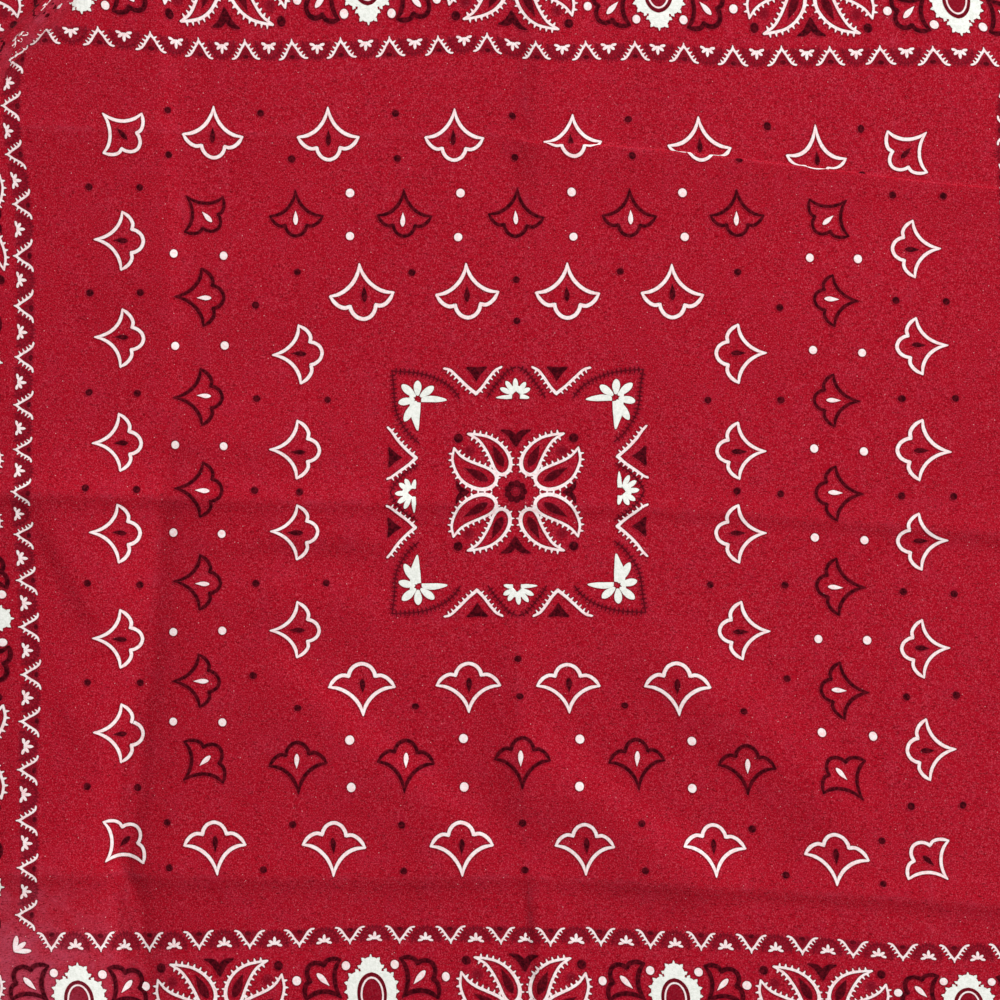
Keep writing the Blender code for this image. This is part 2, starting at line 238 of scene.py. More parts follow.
def lie(u, v):
    """Lay the flat sheet down: x, y, z of the middle of its thickness at (u, v).

    z adds up the folds, swells and tuck, and what is lower than SETTLED lies flat:
    lifted^2 / (lifted + turn).  Each fold draws in the cloth beyond it, and then the
    sheet leans, widens and waves a little in its own plane.
    """
    height = np.zeros(np.shape(u))
    shift_u = np.zeros(np.shape(u))
    shift_v = np.zeros(np.shape(u))
    for fold in FOLDS:
        side, place = beside(u, v, fold.path)
        highest = max(fold.rise, key=abs)
        share = np.interp(place, range(len(fold.rise)), fold.rise) / highest
        height = height + share * highest * MM * flank(side, fold)
        run = np.subtract(fold.path[-1], fold.path[0])
        run = run / np.hypot(*run)
        start = np.array(fold.path[0])
        middle_is_left = run[0] * -start[1] - run[1] * -start[0] > 0
        whole = drawn_in(1.0, fold)
        pull = drawn_in(side, fold) - (whole if middle_is_left else 0.0)
        shift_u = shift_u + run[1] * pull * share ** 2
        shift_v = shift_v - run[0] * pull * share ** 2
    for swell in SWELLS:
        far = ((u - swell.u * MM) / (swell.reach_u * MM)) ** 2
        far = far + ((v - swell.v * MM) / (swell.reach_v * MM)) ** 2
        height = height + swell.rise * MM * np.exp(-far)
    lifted = np.maximum(height - SETTLED, 0.0)
    tuck_shift, tuck_height = tuck(u, v)
    z = lifted ** 2 / (lifted + SETTLED_TURN) + tuck_height + CLOTH_THICKNESS / 2
    sheet_u = u + shift_u
    sheet_v = v + shift_v + tuck_shift
    wider = WIDENING * WIDENING_REACH * np.sin(sheet_v / WIDENING_REACH)
    x = sheet_u * (1.0 + wider) + LEAN_SIDEWAYS * sheet_v
    y = sheet_v + LEAN_DOWN * sheet_u
    x = x + WAVE * np.sin(2 * np.pi * sheet_v / WAVE_LENGTH_V)
    y = y + WAVE * np.sin(2 * np.pi * sheet_u / WAVE_LENGTH_U)
    return np.stack((x, y, z), axis=-1)


def centre_of_outline():
    """The middle of the laid cloth's outline, which is the part's origin."""
    share = np.linspace(-0.5, 0.5, OUTLINE_SAMPLES)
    across = share * CLOTH_WIDTH
    up = share * CLOTH_HEIGHT
    still = np.ones(OUTLINE_SAMPLES)
    edge = [lie(across, still * side * CLOTH_HEIGHT / 2) for side in (-1.0, 1.0)]
    edge += [lie(still * side * CLOTH_WIDTH / 2, up) for side in (-1.0, 1.0)]
    edge = np.concatenate(edge)
    middle = (edge.min(axis=0) + edge.max(axis=0)) / 2
    return np.array((middle[0], middle[1], 0.0))


OUTLINE_CENTRE = centre_of_outline()

# Cells of the mesh between one crease line and the next.  They crowd towards the
# creases, and thirty fine rows shape the tuck.
COLUMN_CELLS = (86, 68, 66, 50)
ROW_CELLS = (46, 64, 60, 30, 76)
COLUMN_LINES = ((LEFT_LINE, 0.0), (CENTRE_LINE, 0.0), (RIGHT_LINE, 0.0))
ROW_LINES = ((LOWER_LINE, 0.0), (MIDDLE_LINE, 0.0), (TUCK_LINE, -6.0 * MM),
             (TUCK_LINE, 0.8 * MM))
CROWDING = 0.35


def crowd(part):
    """Spacing inside a zone: part - crowding sin(2 pi part) / (2 pi)."""
    return part - CROWDING * np.sin(2 * np.pi * part) / (2 * np.pi)


def marks_along(along, lines, edge, axis):
    """Where the cloth's two edges and the crease lines between them pass."""
    marks = [np.full(np.shape(along), -edge)]
    marks += [line_at(path, along, axis) + beyond for path, beyond in lines]
    return marks + [np.full(np.shape(along), edge)]


def between_lines(step, along, lines, edge, cells, axis):
    """Place of grid line number step, which may be a fraction."""
    counts = np.concatenate(([0], np.cumsum(cells)))
    marks = marks_along(along, lines, edge, axis)
    result = np.zeros(np.shape(along))
    for zone in range(len(cells)):
        part = np.clip((step - counts[zone]) / cells[zone], 0.0, 1.0)
        inside = (step >= counts[zone]) & (step <= counts[zone + 1])
        position = marks[zone] + (marks[zone + 1] - marks[zone]) * crowd(part)
        result = np.where(inside, position, result)
    return result


def grid_line(position, along, lines, edge, cells, axis):
    """The other way round: the grid line, as a fraction, that passes a place."""
    counts = np.concatenate(([0], np.cumsum(cells)))
    marks = marks_along(along, lines, edge, axis)
    even = np.linspace(0.0, 1.0, 400)
    result = np.zeros(np.shape(along))
    for zone in range(len(cells)):
        part = (position - marks[zone]) / (marks[zone + 1] - marks[zone])
        step = counts[zone] + cells[zone] * np.interp(part, crowd(even), even)
        result = np.where(part >= 0.0, step, result)
    return result


HALF_U = CLOTH_WIDTH / 2 - HEM_WIDTH + UNDER_HEM
HALF_V = CLOTH_HEIGHT / 2 - HEM_WIDTH + UNDER_HEM


def cloth_grid():
    """Sheet coordinates, middle surface and normals of the whole panel's grid.

    Rows bend with u and columns with v, so they are settled by turns.
    """
    columns, rows = np.meshgrid(np.arange(sum(COLUMN_CELLS) + 1.0),
                                np.arange(sum(ROW_CELLS) + 1.0))
    u = (columns / columns.max() * 2.0 - 1.0) * HALF_U
    v = (rows / rows.max() * 2.0 - 1.0) * HALF_V
    for _ in range(5):
        v = between_lines(rows, u, ROW_LINES, HALF_V, ROW_CELLS, 0)
        u = between_lines(columns, v, COLUMN_LINES, HALF_U, COLUMN_CELLS, 1)
    middle = lie(u, v) - OUTLINE_CENTRE
    normal = np.cross(np.gradient(middle, axis=1), np.gradient(middle, axis=0))
    normal = normal / np.linalg.norm(normal, axis=2, keepdims=True)
    return u, v, middle, normal


SHEET_U, SHEET_V, MIDDLE, NORMAL = cloth_grid()

# Painted sheen and real wear: the lower left corner and the high fold are painted paler
# as sheen where they catch the light, and the creases are rubbed pale.
SHEEN_PATCH_MIDDLE = (-200 * MM, -190 * MM)
SHEEN_PATCH_REACH = (60 * MM, 44 * MM)
HIGH_FOLD_SHEEN = 0.6
HIGH_FOLD_SHEEN_REACH = 14 * MM
CREASE_RUBBED = 0.35
CREASE_REACH = 1.6 * MM


def wear_and_sheen(u, v):
    """How pale the cloth is painted, from 0 to 1: painted sheen at the lower left corner
    and along the high fold, and real wear rubbed pale along the creases.

    Each pale place gives its strength times exp(-(distance / reach)^2), and the
    greatest of them counts.
    """
    far = ((u - SHEEN_PATCH_MIDDLE[0]) / SHEEN_PATCH_REACH[0]) ** 2 + ((v - SHEEN_PATCH_MIDDLE[1]) / SHEEN_PATCH_REACH[1]) ** 2
    wear_and_sheen_share = np.exp(-far)
    high_fold = next(fold for fold in FOLDS if fold.name == "corner")
    side, _ = beside(u, v, high_fold.path)
    wear_and_sheen_share = np.maximum(wear_and_sheen_share, HIGH_FOLD_SHEEN * np.exp(-(side / HIGH_FOLD_SHEEN_REACH) ** 2))
    for path in (LOWER_LINE, MIDDLE_LINE, UPPER_LINE, LEFT_LINE, CENTRE_LINE, RIGHT_LINE):
        side, _ = beside(u, v, path)
        wear_and_sheen_share = np.maximum(wear_and_sheen_share, CREASE_RUBBED * np.exp(-(side / CREASE_REACH) ** 2))
    return wear_and_sheen_share


def mesh_piece(name, points, faces, attributes, material, uv=None):
    """A smooth-shaded piece from arrays of points and faces, ridden on the one body."""
    mesh = bpy.data.meshes.new(name)
    mesh.from_pydata(points.reshape(-1, 3).tolist(), [], faces)
    mesh.shade_smooth()
    for title, values in attributes.items():
        layer = mesh.attributes.new(title, "FLOAT", "POINT")
        layer.data.foreach_set("value", np.ravel(values).astype(np.float32))
    if uv is not None:
        corners = np.zeros(len(mesh.loops), np.int32)
        mesh.loops.foreach_get("vertex_index", corners)
        layer = mesh.uv_layers.new(name="OFBake")
        layer.data.foreach_set("uv", uv.reshape(-1, 2)[corners].astype(np.float32).ravel())
    mesh.materials.append(material)
    piece = bpy.data.objects.new(name, mesh)
    bpy.context.scene.collection.objects.link(piece)
    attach(piece, "root")
    return piece


def colour(hex_code):
    """An sRGB hex colour as linear RGBA."""
    channels = np.array([int(hex_code[i:i + 2], 16) / 255 for i in (1, 3, 5)])
    linear = np.where(channels <= 0.04045, channels / 12.92, ((channels + 0.055) / 1.055) ** 2.4)
    return (*linear.tolist(), 1.0)


def add_node(tree, kind, inputs=(), **settings):
    """One node with its settings; an input is a value or the socket that feeds it."""
    node = tree.nodes.new(kind)
    for name, value in settings.items():
        setattr(node, name, value)
    for name, value in dict(inputs).items():
        if isinstance(value, bpy.types.NodeSocket):
            tree.links.new(value, node.inputs[name])
        else:
            node.inputs[name].default_value = value
    return node


def mixed(tree, share, first, second):
    """Two colours mixed by a share, from 0 for the first to 1 for the second."""
    node = add_node(tree, "ShaderNodeMix", data_type="RGBA")
    for index, value in ((0, share), (6, first), (7, second)):
        if isinstance(value, bpy.types.NodeSocket):
            tree.links.new(value, node.inputs[index])
        else:
            node.inputs[index].default_value = value
    return node.outputs[2]


def between(tree, value, low, high, least=0.0, most=1.0):
    """A number turned into a share: least at low, most at high, smooth between."""
    node = add_node(tree, "ShaderNodeMapRange",
                    {"Value": value, "From Min": low, "From Max": high,
                     "To Min": least, "To Max": most}, interpolation_type="SMOOTHSTEP")
    return node.outputs["Result"]


def noise(tree, place, size, stretch=(1.0, 1.0), detail=2.0, roughness=0.5):
    """Soft noise whose lumps are about size metres wide, stretched along x and y."""
    scaled = add_node(tree, "ShaderNodeMapping",
                      {"Vector": place, "Scale": (1.0 / stretch[0], 1.0 / stretch[1], 1.0)})
    node = add_node(tree, "ShaderNodeTexNoise",
                    {"Vector": scaled.outputs[0], "Scale": 1.0 / size, "Detail": detail,
                     "Roughness": roughness})
    return node.outputs["Fac"]


# Plain-weave cotton of about 30 threads a centimetre.  The eye just resolves its threads
# from here as a fine grain, a little longer across the cloth than up it.
THREAD = 0.40 * MM
RED_DEEP = "#A6061E"
RED = "#AA0820"
RED_FADED = "#AD1832"
RED_WORN = "#C65464"
# Pale pink for the rubbed creases and for painted sheen where the cloth catches the light.
RED_RUBBED_AND_SHEEN = "#BC5872"
THREAD_DARK = "#6C000C"
THREAD_LIGHT = "#D6475A"
LINT = "#E09A9E"


def dyed_cotton(tree):
    """Turkey-red dyed cotton: colour and weave height at each place on the cloth.

    Slow mottling fades it, rubbed creases are paler and painted sheen pales the lower left
    corner and the high fold, the threads are lighter and darker grains along both thread
    directions, and a few pale lint specks lie on it.
    """
    place = add_node(tree, "ShaderNodeTexCoord").outputs["Object"]
    wear_and_sheen_share = add_node(tree, "ShaderNodeAttribute", attribute_name="wear_and_sheen_share").outputs["Fac"]
    slow = noise(tree, place, 60 * MM, detail=3.0)
    cloudy = noise(tree, place, 7 * MM, detail=3.0, roughness=0.6)
    weft = noise(tree, place, THREAD, stretch=(3.0, 1.0), detail=1.0)
    warp = noise(tree, place, THREAD, stretch=(1.0, 1.5), detail=1.0)
    fleck = noise(tree, place, 0.55 * MM, detail=1.0)
    red = mixed(tree, between(tree, slow, 0.36, 0.64), colour(RED_DEEP), colour(RED))
    red = mixed(tree, between(tree, cloudy, 0.42, 0.74, 0.0, 0.5), red, colour(RED_FADED))
    # Painted sheen and wear: the cloth turns pale pink in mottled patches where it is rubbed or painted
    # as catching the light.
    wear_and_sheen_mottled = add_node(tree, "ShaderNodeMath", {0: wear_and_sheen_share, 1: cloudy}, operation="MULTIPLY")
    red = mixed(tree, between(tree, wear_and_sheen_mottled.outputs[0], 0.08, 0.60, 0.0, 0.50), red,
                colour(RED_RUBBED_AND_SHEEN))
    red = mixed(tree, between(tree, weft, 0.54, 0.22, 0.0, 0.85), red, colour(THREAD_DARK))
    red = mixed(tree, between(tree, warp, 0.48, 0.78, 0.0, 0.7), red, colour(THREAD_LIGHT))
    red = mixed(tree, between(tree, fleck, 0.62, 0.80, 0.0, 0.55), red, colour(RED_WORN))
    specks = add_node(tree, "ShaderNodeTexVoronoi",
                      {"Vector": place, "Scale": 1.0 / (3.0 * MM), "Randomness": 1.0},
                      feature="F1")
    near = between(tree, specks.outputs["Distance"], 0.085, 0.035)
    rare = between(tree, noise(tree, place, 5 * MM, detail=0.0), 0.46, 0.54)
    lint = add_node(tree, "ShaderNodeMath", {0: near, 1: rare}, operation="MULTIPLY")
    red = mixed(tree, lint.outputs[0], red, colour(LINT))
    threads = add_node(tree, "ShaderNodeMath", {0: weft, 1: warp}, operation="ADD")
    return red, threads.outputs[0], place


def finish_cloth(tree, shader, base, threads, place, relief):
    """Wire a cloth's colour, its weave and its small cockles into the shader."""
    cockle = noise(tree, place, 7 * MM, detail=2.0)
    cockled = add_node(tree, "ShaderNodeBump",
                       {"Height": cockle, "Strength": 0.35, "Distance": 0.5 * MM})
    woven = add_node(tree, "ShaderNodeBump",
                     {"Height": threads, "Strength": relief, "Distance": 0.12 * MM,
                      "Normal": cockled.outputs[0]})
    tree.links.new(base, shader.inputs["Base Color"])
    tree.links.new(woven.outputs[0], shader.inputs["Normal"])


def cloth_material(name, sheen, roughness):
    """A Principled material for matt cloth, and its node tree and shader."""
    material = bpy.data.materials.new(name)
    material.use_nodes = True
    tree = material.node_tree
    shader = tree.nodes["Principled BSDF"]
    shader.inputs["Roughness"].default_value = roughness
    shader.inputs["Specular IOR Level"].default_value = 0.06
    shader.inputs["Sheen Weight"].default_value = sheen
    shader.inputs["Sheen Roughness"].default_value = 0.45
    shader.inputs["Sheen Tint"].default_value = colour("#FFC9D2")
    return material, tree, shader


# Cotton, plain-woven and piece-dyed: matt, with a faint pale nap at low angles.
COTTON, cotton_tree, cotton_shader = cloth_material("dyed_plain_weave_cotton", 0.04, 0.92)
cotton_red, cotton_threads, cotton_place = dyed_cotton(cotton_tree)
finish_cloth(cotton_tree, cotton_shader, cotton_red, cotton_threads, cotton_place, 0.5)


def panel_mesh():
    """A closed thin shell: the face of the grid, a coarser underside and its rim.

    face = middle + normal thickness / 2; underside = middle - normal thickness / 2
    at every second grid line; each rim face joins two cells above to one below.  The
    face takes nearly the whole bake map, and the underside a narrow strip beside it.
    """
    rows, columns = MIDDLE.shape[:2]
    face = MIDDLE + NORMAL * CLOTH_THICKNESS / 2
    under = (MIDDLE - NORMAL * CLOTH_THICKNESS / 2)[::2, ::2]
    index = np.arange(rows * columns).reshape(rows, columns)
    below = index.size + np.arange(under.shape[0] * under.shape[1]).reshape(under.shape[:2])
    top = np.stack((index[:-1, :-1], index[:-1, 1:], index[1:, 1:], index[1:, :-1]), axis=-1)
    base = np.stack((below[:-1, :-1], below[1:, :-1], below[1:, 1:], below[:-1, 1:]), axis=-1)
    faces = top.reshape(-1, 4).tolist() + base.reshape(-1, 4).tolist()
    for upper, lower in ((index[0], below[0]), (index[:, -1], below[:, -1]),
                         (index[-1, ::-1], below[-1, ::-1]), (index[::-1, 0], below[::-1, 0])):
        rim = np.stack((upper[2::2], upper[1::2], upper[:-1:2], lower[:-1], lower[1:]), axis=-1)
        faces += rim.tolist()
    face_share = 0.94
    across, up = (SHEET_U / HALF_U + 1) / 2, (SHEET_V / HALF_V + 1) / 2
    face_map = np.stack((across * face_share, up), axis=-1)
    strip = np.stack((face_share + 0.01 + across * (0.99 - face_share), up), axis=-1)[::2, ::2]
    uv = np.concatenate((face_map.reshape(-1, 2), strip.reshape(-1, 2)))
    wear_and_sheen_share = wear_and_sheen(SHEET_U, SHEET_V)
    wear_and_sheen_share = np.concatenate((wear_and_sheen_share.ravel(), wear_and_sheen_share[::2, ::2].ravel()))
    points = np.concatenate((face.reshape(-1, 3), under.reshape(-1, 3)))
    return points, faces, wear_and_sheen_share, uv


panel_points, panel_faces, panel_worn, panel_uv = panel_mesh()
panel = mesh_piece("cotton_panel", panel_points, panel_faces, {"wear_and_sheen_share": panel_worn}, COTTON,
                   panel_uv)
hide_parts("panel")

# ---------------------------------------------------------------- the rolled hems
# Along each edge the same cloth is turned twice into a narrow roll and sewn down with
# red cotton thread in one line of lock stitches near the roll's inner edge.

HEM_THICKNESS = 1.5 * MM
HEM_STATIONS = 420
HEM_CORNERS = 14
HEM_SQUARED = 0.7
SIDE_HEM_PAST_CORNER = 0.6 * MM
STITCH_PITCH = 2.9 * MM
STITCH_LENGTH = 2.1 * MM
STITCH_IN_FROM_ROLL_EDGE = 1.35 * MM
FIRST_STITCH_FROM_CORNER = 8 * MM
STITCH_DIP = 0.25 * MM
THREAD_THICK = 0.42 * MM

HEM_COTTON, hem_tree, hem_shader = cloth_material("rolled_cotton_hem", 0.04, 0.92)
hem_red, hem_threads, hem_place = dyed_cotton(hem_tree)
pucker = noise(hem_tree, hem_place, 2.2 * MM, detail=1.0)
hem_red = mixed(hem_tree, between(hem_tree, pucker, 0.45, 0.70, 0.0, 0.5), hem_red,
                colour(RED_WORN))
finish_cloth(hem_tree, hem_shader, hem_red, hem_threads, hem_place, 0.5)

# Mercerised sewing cotton: a little glossier and lighter than the cloth.
SEWING_COTTON, sewing_tree, sewing_shader = cloth_material("mercerised_sewing_cotton", 0.05, 0.6)
twist_place = add_node(sewing_tree, "ShaderNodeTexCoord").outputs["Object"]
twist = noise(sewing_tree, twist_place, 0.4 * MM, detail=1.0)
sewing_red = mixed(sewing_tree, twist, colour("#9C0E26"), colour("#C43650"))
sewing_tree.links.new(sewing_red, sewing_shader.inputs["Base Color"])


def hem_run(side, count):
    """Sheet coordinates along one edge's inner line, and the way out from it."""
    share = np.linspace(-1.0, 1.0, count)
    sign = 1.0 if side in ("top", "right") else -1.0
    inner_u = CLOTH_WIDTH / 2 - HEM_WIDTH
    inner_v = CLOTH_HEIGHT / 2 - HEM_WIDTH
    if side in ("top", "bottom"):
        return share * CLOTH_WIDTH / 2, np.full(count, sign * inner_v), (0.0, sign)
    return np.full(count, sign * inner_u), share * (inner_v + SIDE_HEM_PAST_CORNER), (sign, 0.0)


def hem_mesh(side):
    """A flattened roll carried along an edge, puckered a little by its stitches.

    Section: out = width / 2 (1 - cos a), up = thickness / 2 (1 + sin a), squared off
    by a root; the roll's height and width wave slowly along the edge.
    """
    u, v, way = hem_run(side, HEM_STATIONS)
    angle = 2 * np.pi * np.arange(HEM_CORNERS) / HEM_CORNERS
    out = -np.cos(angle)
    up = np.sin(angle)
    out = np.sign(out) * np.abs(out) ** HEM_SQUARED
    up = np.sign(up) * np.abs(up) ** HEM_SQUARED
    along = (u + v) / MM
    swell = 1.0 + 0.10 * np.sin(along / 3.7) + 0.08 * np.sin(along / 9.1 + 1.0)
    width = (HEM_WIDTH / 2) * (out[None, :] * (1.0 + 0.03 * np.sin(along / 13.0))[:, None] + 1.0)
    width = np.minimum(width, HEM_WIDTH)
    height = HEM_THICKNESS / 2 * (up[None, :] * swell[:, None] + 1.0)
    section_u = u[:, None] + way[0] * width
    section_v = v[:, None] + way[1] * width
    points = lie(section_u, section_v) - OUTLINE_CENTRE
    points[..., 2] += np.maximum(height, 0.0) - CLOTH_THICKNESS / 2
    index = np.arange(HEM_STATIONS * HEM_CORNERS).reshape(HEM_STATIONS, HEM_CORNERS)
    after = np.roll(index, -1, axis=1)
    walls = np.stack((index[:-1], after[:-1], after[1:], index[1:]), axis=-1).reshape(-1, 4)
    ends = [index[0], index[-1, ::-1]]
    if side in ("top", "left"):
        walls = walls[:, ::-1]
        ends = [end[::-1] for end in ends]
    return points, walls.tolist() + [end.tolist() for end in ends]


def stitch_mesh(side):
    """A row of short round stitches lying on the roll, dipping in at their ends."""
    inner = CLOTH_WIDTH / 2 if side in ("top", "bottom") else CLOTH_HEIGHT / 2
    count = int(2 * (inner - FIRST_STITCH_FROM_CORNER) / STITCH_PITCH)
    middle = (np.arange(count) - (count - 1) / 2) * STITCH_PITCH
    u, v, way = hem_run(side, 2)
    part = np.linspace(-0.5, 0.5, 6)
    angle = 2 * np.pi * np.arange(6) / 6
    run = middle[:, None] + part[None, :] * STITCH_LENGTH
    line_u = run if way[0] == 0 else np.full(run.shape, u[0] + way[0] * STITCH_IN_FROM_ROLL_EDGE)
    line_v = run if way[1] == 0 else np.full(run.shape, v[0] + way[1] * STITCH_IN_FROM_ROLL_EDGE)
    thick = THREAD_THICK / 2 * np.sqrt(1.02 - (2 * part) ** 2)
    rise = HEM_THICKNESS * 0.93 - STITCH_DIP * (2 * part) ** 2
    across = np.cos(angle)[None, None, :] * thick[None, :, None]
    upward = np.sin(angle)[None, None, :] * thick[None, :, None]
    points = lie(line_u[..., None] + across * abs(way[0]),
                 line_v[..., None] + across * abs(way[1])) - OUTLINE_CENTRE
    points[..., 2] += rise[None, :, None] + upward
    shape = points.shape[:3]
    index = np.arange(np.prod(shape)).reshape(shape)
    after = np.roll(index, -1, axis=2)
    walls = np.stack((index[:, :-1], index[:, 1:], after[:, 1:], after[:, :-1]), axis=-1)
    walls = walls.reshape(-1, 4)
    ends = index[:, 0].tolist() + index[:, -1, ::-1].tolist()
    if way[0]:
        walls = walls[:, ::-1]
        ends = [end[::-1] for end in ends]
    return points, walls.tolist() + ends


hems = []
for hem_side in ("top", "bottom", "left", "right"):
    hem_points, hem_faces = hem_mesh(hem_side)
    hem = mesh_piece("rolled_hem_" + hem_side, hem_points, hem_faces, {}, HEM_COTTON)
    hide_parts("hem_" + hem_side)
    stitch_points, stitch_faces = stitch_mesh(hem_side)
    stitches = mesh_piece("stitches_" + hem_side, stitch_points, stitch_faces, {}, SEWING_COTTON)
    hems += [hem, stitches]

# ---------------------------------------------------------------- how a print is drawn
# Both inks are screen-printed on the dyed cloth.  A motif is a few pen strokes and
# filled petals in millimetres.  Its ink is a skin hardly thicker than the thread, and
# it carries its own depth inside the ink's edge, so that the edge can fray.

# In millimetres: the step along a line, how far the faded edge bleeds past it, the
# spacing of a blot's rings, how high ink lies, how it crowns over its first 1.2 mm of
# depth, and how long the print's slow wobble is.
STEP = 0.72
BLEED = 0.42
OVERPRINT_BLEED = 0.18
RING_SPACING = 3.0
INK_LIFT = 0.09
INK_SLOPE = 0.03
INK_CROWN = 1.2
WOBBLE_LENGTH = 17.0

# at: places on the flat sheet; depth: how far inside the ink's edge; strength: how
# strongly it took; level: its height over the inks printed before it
Patch = namedtuple("Patch", "at depth strength level faces")


def curve(points, step=STEP):
    """A smooth line through given points: Catmull-Rom, resampled at an even step."""
    points = np.array(points, float)
    if len(points) > 2:
        before, after = 2 * points[:1] - points[1:2], 2 * points[-1:] - points[-2:-1]
        ends = np.concatenate((before, points, after))
        t = np.linspace(0.0, 1.0, 17)[:, None, None]
        a, b, c, d = ends[:-3], ends[1:-2], ends[2:-1], ends[3:]
        spline = b + 0.5 * t * (c - a + t * (2 * a - 5 * b + 4 * c - d + t * (3 * (b - c) + d - a)))
        points = np.concatenate((spline[:-1].transpose(1, 0, 2).reshape(-1, 2), points[-1:]))
    gaps = np.hypot(*np.diff(points, axis=0).T)
    length = np.concatenate(([0.0], np.cumsum(gaps)))
    count = max(int(np.ceil(length[-1] / step)), 1)
    even = np.linspace(0.0, length[-1], count + 1)
    return np.stack([np.interp(even, length, points[:, axis]) for axis in (0, 1)], axis=1)


def stroke(points, width, strength=1.0, bleed=BLEED):
    """A pen stroke: three points a station, the line itself and its two faded sides.

    width is one number or one for each given point.  Depth is half the width on
    the line and -bleed past its sides and ends.
    """
    line = curve(points)
    along = np.linspace(0.0, 1.0, len(line))
    half = np.interp(along, np.linspace(0.0, 1.0, np.size(width)), np.ravel(width)) / 2
    ahead = np.gradient(line, axis=0)
    ahead = ahead / np.hypot(*ahead.T)[:, None]
    reach = (half + bleed)[:, None]
    before, after = line[:1] - ahead[:1] * reach[:1], line[-1:] + ahead[-1:] * reach[-1:]
    line = np.concatenate((before, line, after))
    ahead = np.concatenate((ahead[:1], ahead, ahead[-1:]))
    reach = np.concatenate((reach[:1] * 0.5, reach, reach[-1:] * 0.5))
    left = line + np.stack((-ahead[:, 1], ahead[:, 0]), axis=1) * reach
    right = line - np.stack((-ahead[:, 1], ahead[:, 0]), axis=1) * reach
    edge = np.full(len(line), -bleed)
    depth = np.stack((edge, np.concatenate(([-bleed], half, [-bleed])), edge), axis=1)
    at = np.stack((left, line, right), axis=1)
    index = np.arange(len(line) * 3).reshape(-1, 3)
    low, high = index[:-1], index[1:]
    faces = [np.stack(corners, axis=1) for corners in (
        (low[:, 1], high[:, 1], high[:, 0]), (low[:, 1], high[:, 0], low[:, 0]),
        (low[:, 2], high[:, 2], high[:, 1]), (low[:, 2], high[:, 1], low[:, 1]))]
    return Patch(at.reshape(-1, 2), depth.ravel(), np.full(at.shape[0] * 3, strength),
                 np.zeros(at.shape[0] * 3), np.concatenate(faces))


def blot(points, strength=1.0, step=STEP, inset=0.45, bleed=BLEED, edge_strength=None):
    """A filled shape, drawn round its middle: a faded rim, then evenly spaced rings inwards.

    Depth is -bleed on the rim and grows to the shape's own radius in its middle.
    """
    line = curve(list(points) + [points[0]], step)[:-1]
    middle = line.mean(axis=0)
    if np.cross(line, np.roll(line, -1, axis=0)).sum() < 0:
        line = line[::-1]
    away = line - middle
    radius = np.maximum(np.hypot(*away.T), 1e-6)
    deep = np.minimum(inset, radius * 0.6)
    rings = int(radius.max() // RING_SPACING) + 1
    rest = np.linspace(1.0, 0.0, rings, endpoint=False)[:, None]
    reach = np.concatenate(((radius + bleed)[None], (radius - deep) * rest))
    depth = np.concatenate((np.full((1, len(line)), -bleed), radius - (radius - deep) * rest))
    at = middle + away / radius[:, None] * reach[..., None]
    index = np.arange(reach.size).reshape(reach.shape)
    after = np.roll(index, -1, axis=1)
    quads = np.stack((index[:-1], after[:-1], after[1:], index[1:]), axis=-1).reshape(-1, 4)
    last = np.stack((index[-1], after[-1], np.full(len(line), reach.size)), axis=1)
    faces = np.concatenate((quads[:, [0, 1, 2]], quads[:, [0, 2, 3]], last))
    took = np.full(reach.shape, strength)
    took[0] = strength if edge_strength is None else edge_strength
    at = np.concatenate((at.reshape(-1, 2), middle[None]))
    return Patch(at, np.append(depth, radius.min()), np.append(took, strength),
                 np.zeros(reach.size + 1), faces)


def over(patch, level):
    """The same patch printed at a level over other ink, in millimetres."""
    return patch._replace(level=patch.level + level)


def ring(radius_x, radius_y=None, middle=(0.0, 0.0), count=16):
    """Points round an ellipse, as an outline for a blot or a stroke."""
    radius_y = radius_x if radius_y is None else radius_y
    angle = 2 * np.pi * np.arange(count) / count
    return np.stack((middle[0] + radius_x * np.cos(angle),
                     middle[1] + radius_y * np.sin(angle)), axis=1)


def drop(tip, foot, width):
    """A drop: pointed at tip, round at foot.

    Half width = 0.6 width sin(pi s)^0.8 (0.3 + 0.7 s), for s from 0 at tip to 1 at foot.
    """
    tip, foot = np.array(tip, float), np.array(foot, float)
    ahead = foot - tip
    length = np.hypot(*ahead)
    ahead = ahead / length
    across = np.array((-ahead[1], ahead[0]))
    s = np.linspace(0.0, 1.0, 9)
    half = (0.6 * width * np.sin(np.pi * s) ** 0.8 * (0.3 + 0.7 * s))[:, None]
    side = tip + ahead * (s * length)[:, None]
    return np.concatenate((side + across * half, (side - across * half)[-2:0:-1]))


def ticks(points, pitch, length, width, side=1.0, strength=1.0, bleed=BLEED):
    """Thorns on one side of a line at an even pitch, wide at the foot, none at its ends.

    length is measured from the line's middle, and width is the thorn's at its foot.
    """
    line = curve(points, pitch)
    ahead = np.gradient(line, axis=0)
    ahead = ahead / np.hypot(*ahead.T)[:, None]
    out = np.stack((-ahead[:, 1], ahead[:, 0]), axis=1) * side
    widths = (width, 0.35 * width)
    return [stroke((line[i] + out[i] * 0.2, line[i] + out[i] * length), widths, strength, bleed=bleed)
            for i in range(1, len(line) - 1)]


def gather(patches):
    """Several patches joined into one, in order."""
    sizes = np.cumsum([0] + [len(patch.at) for patch in patches])
    return Patch(*[np.concatenate([getattr(patch, part) for patch in patches])
                   for part in ("at", "depth", "strength", "level")],
                 np.concatenate([patch.faces + size for patch, size in zip(patches, sizes)]))


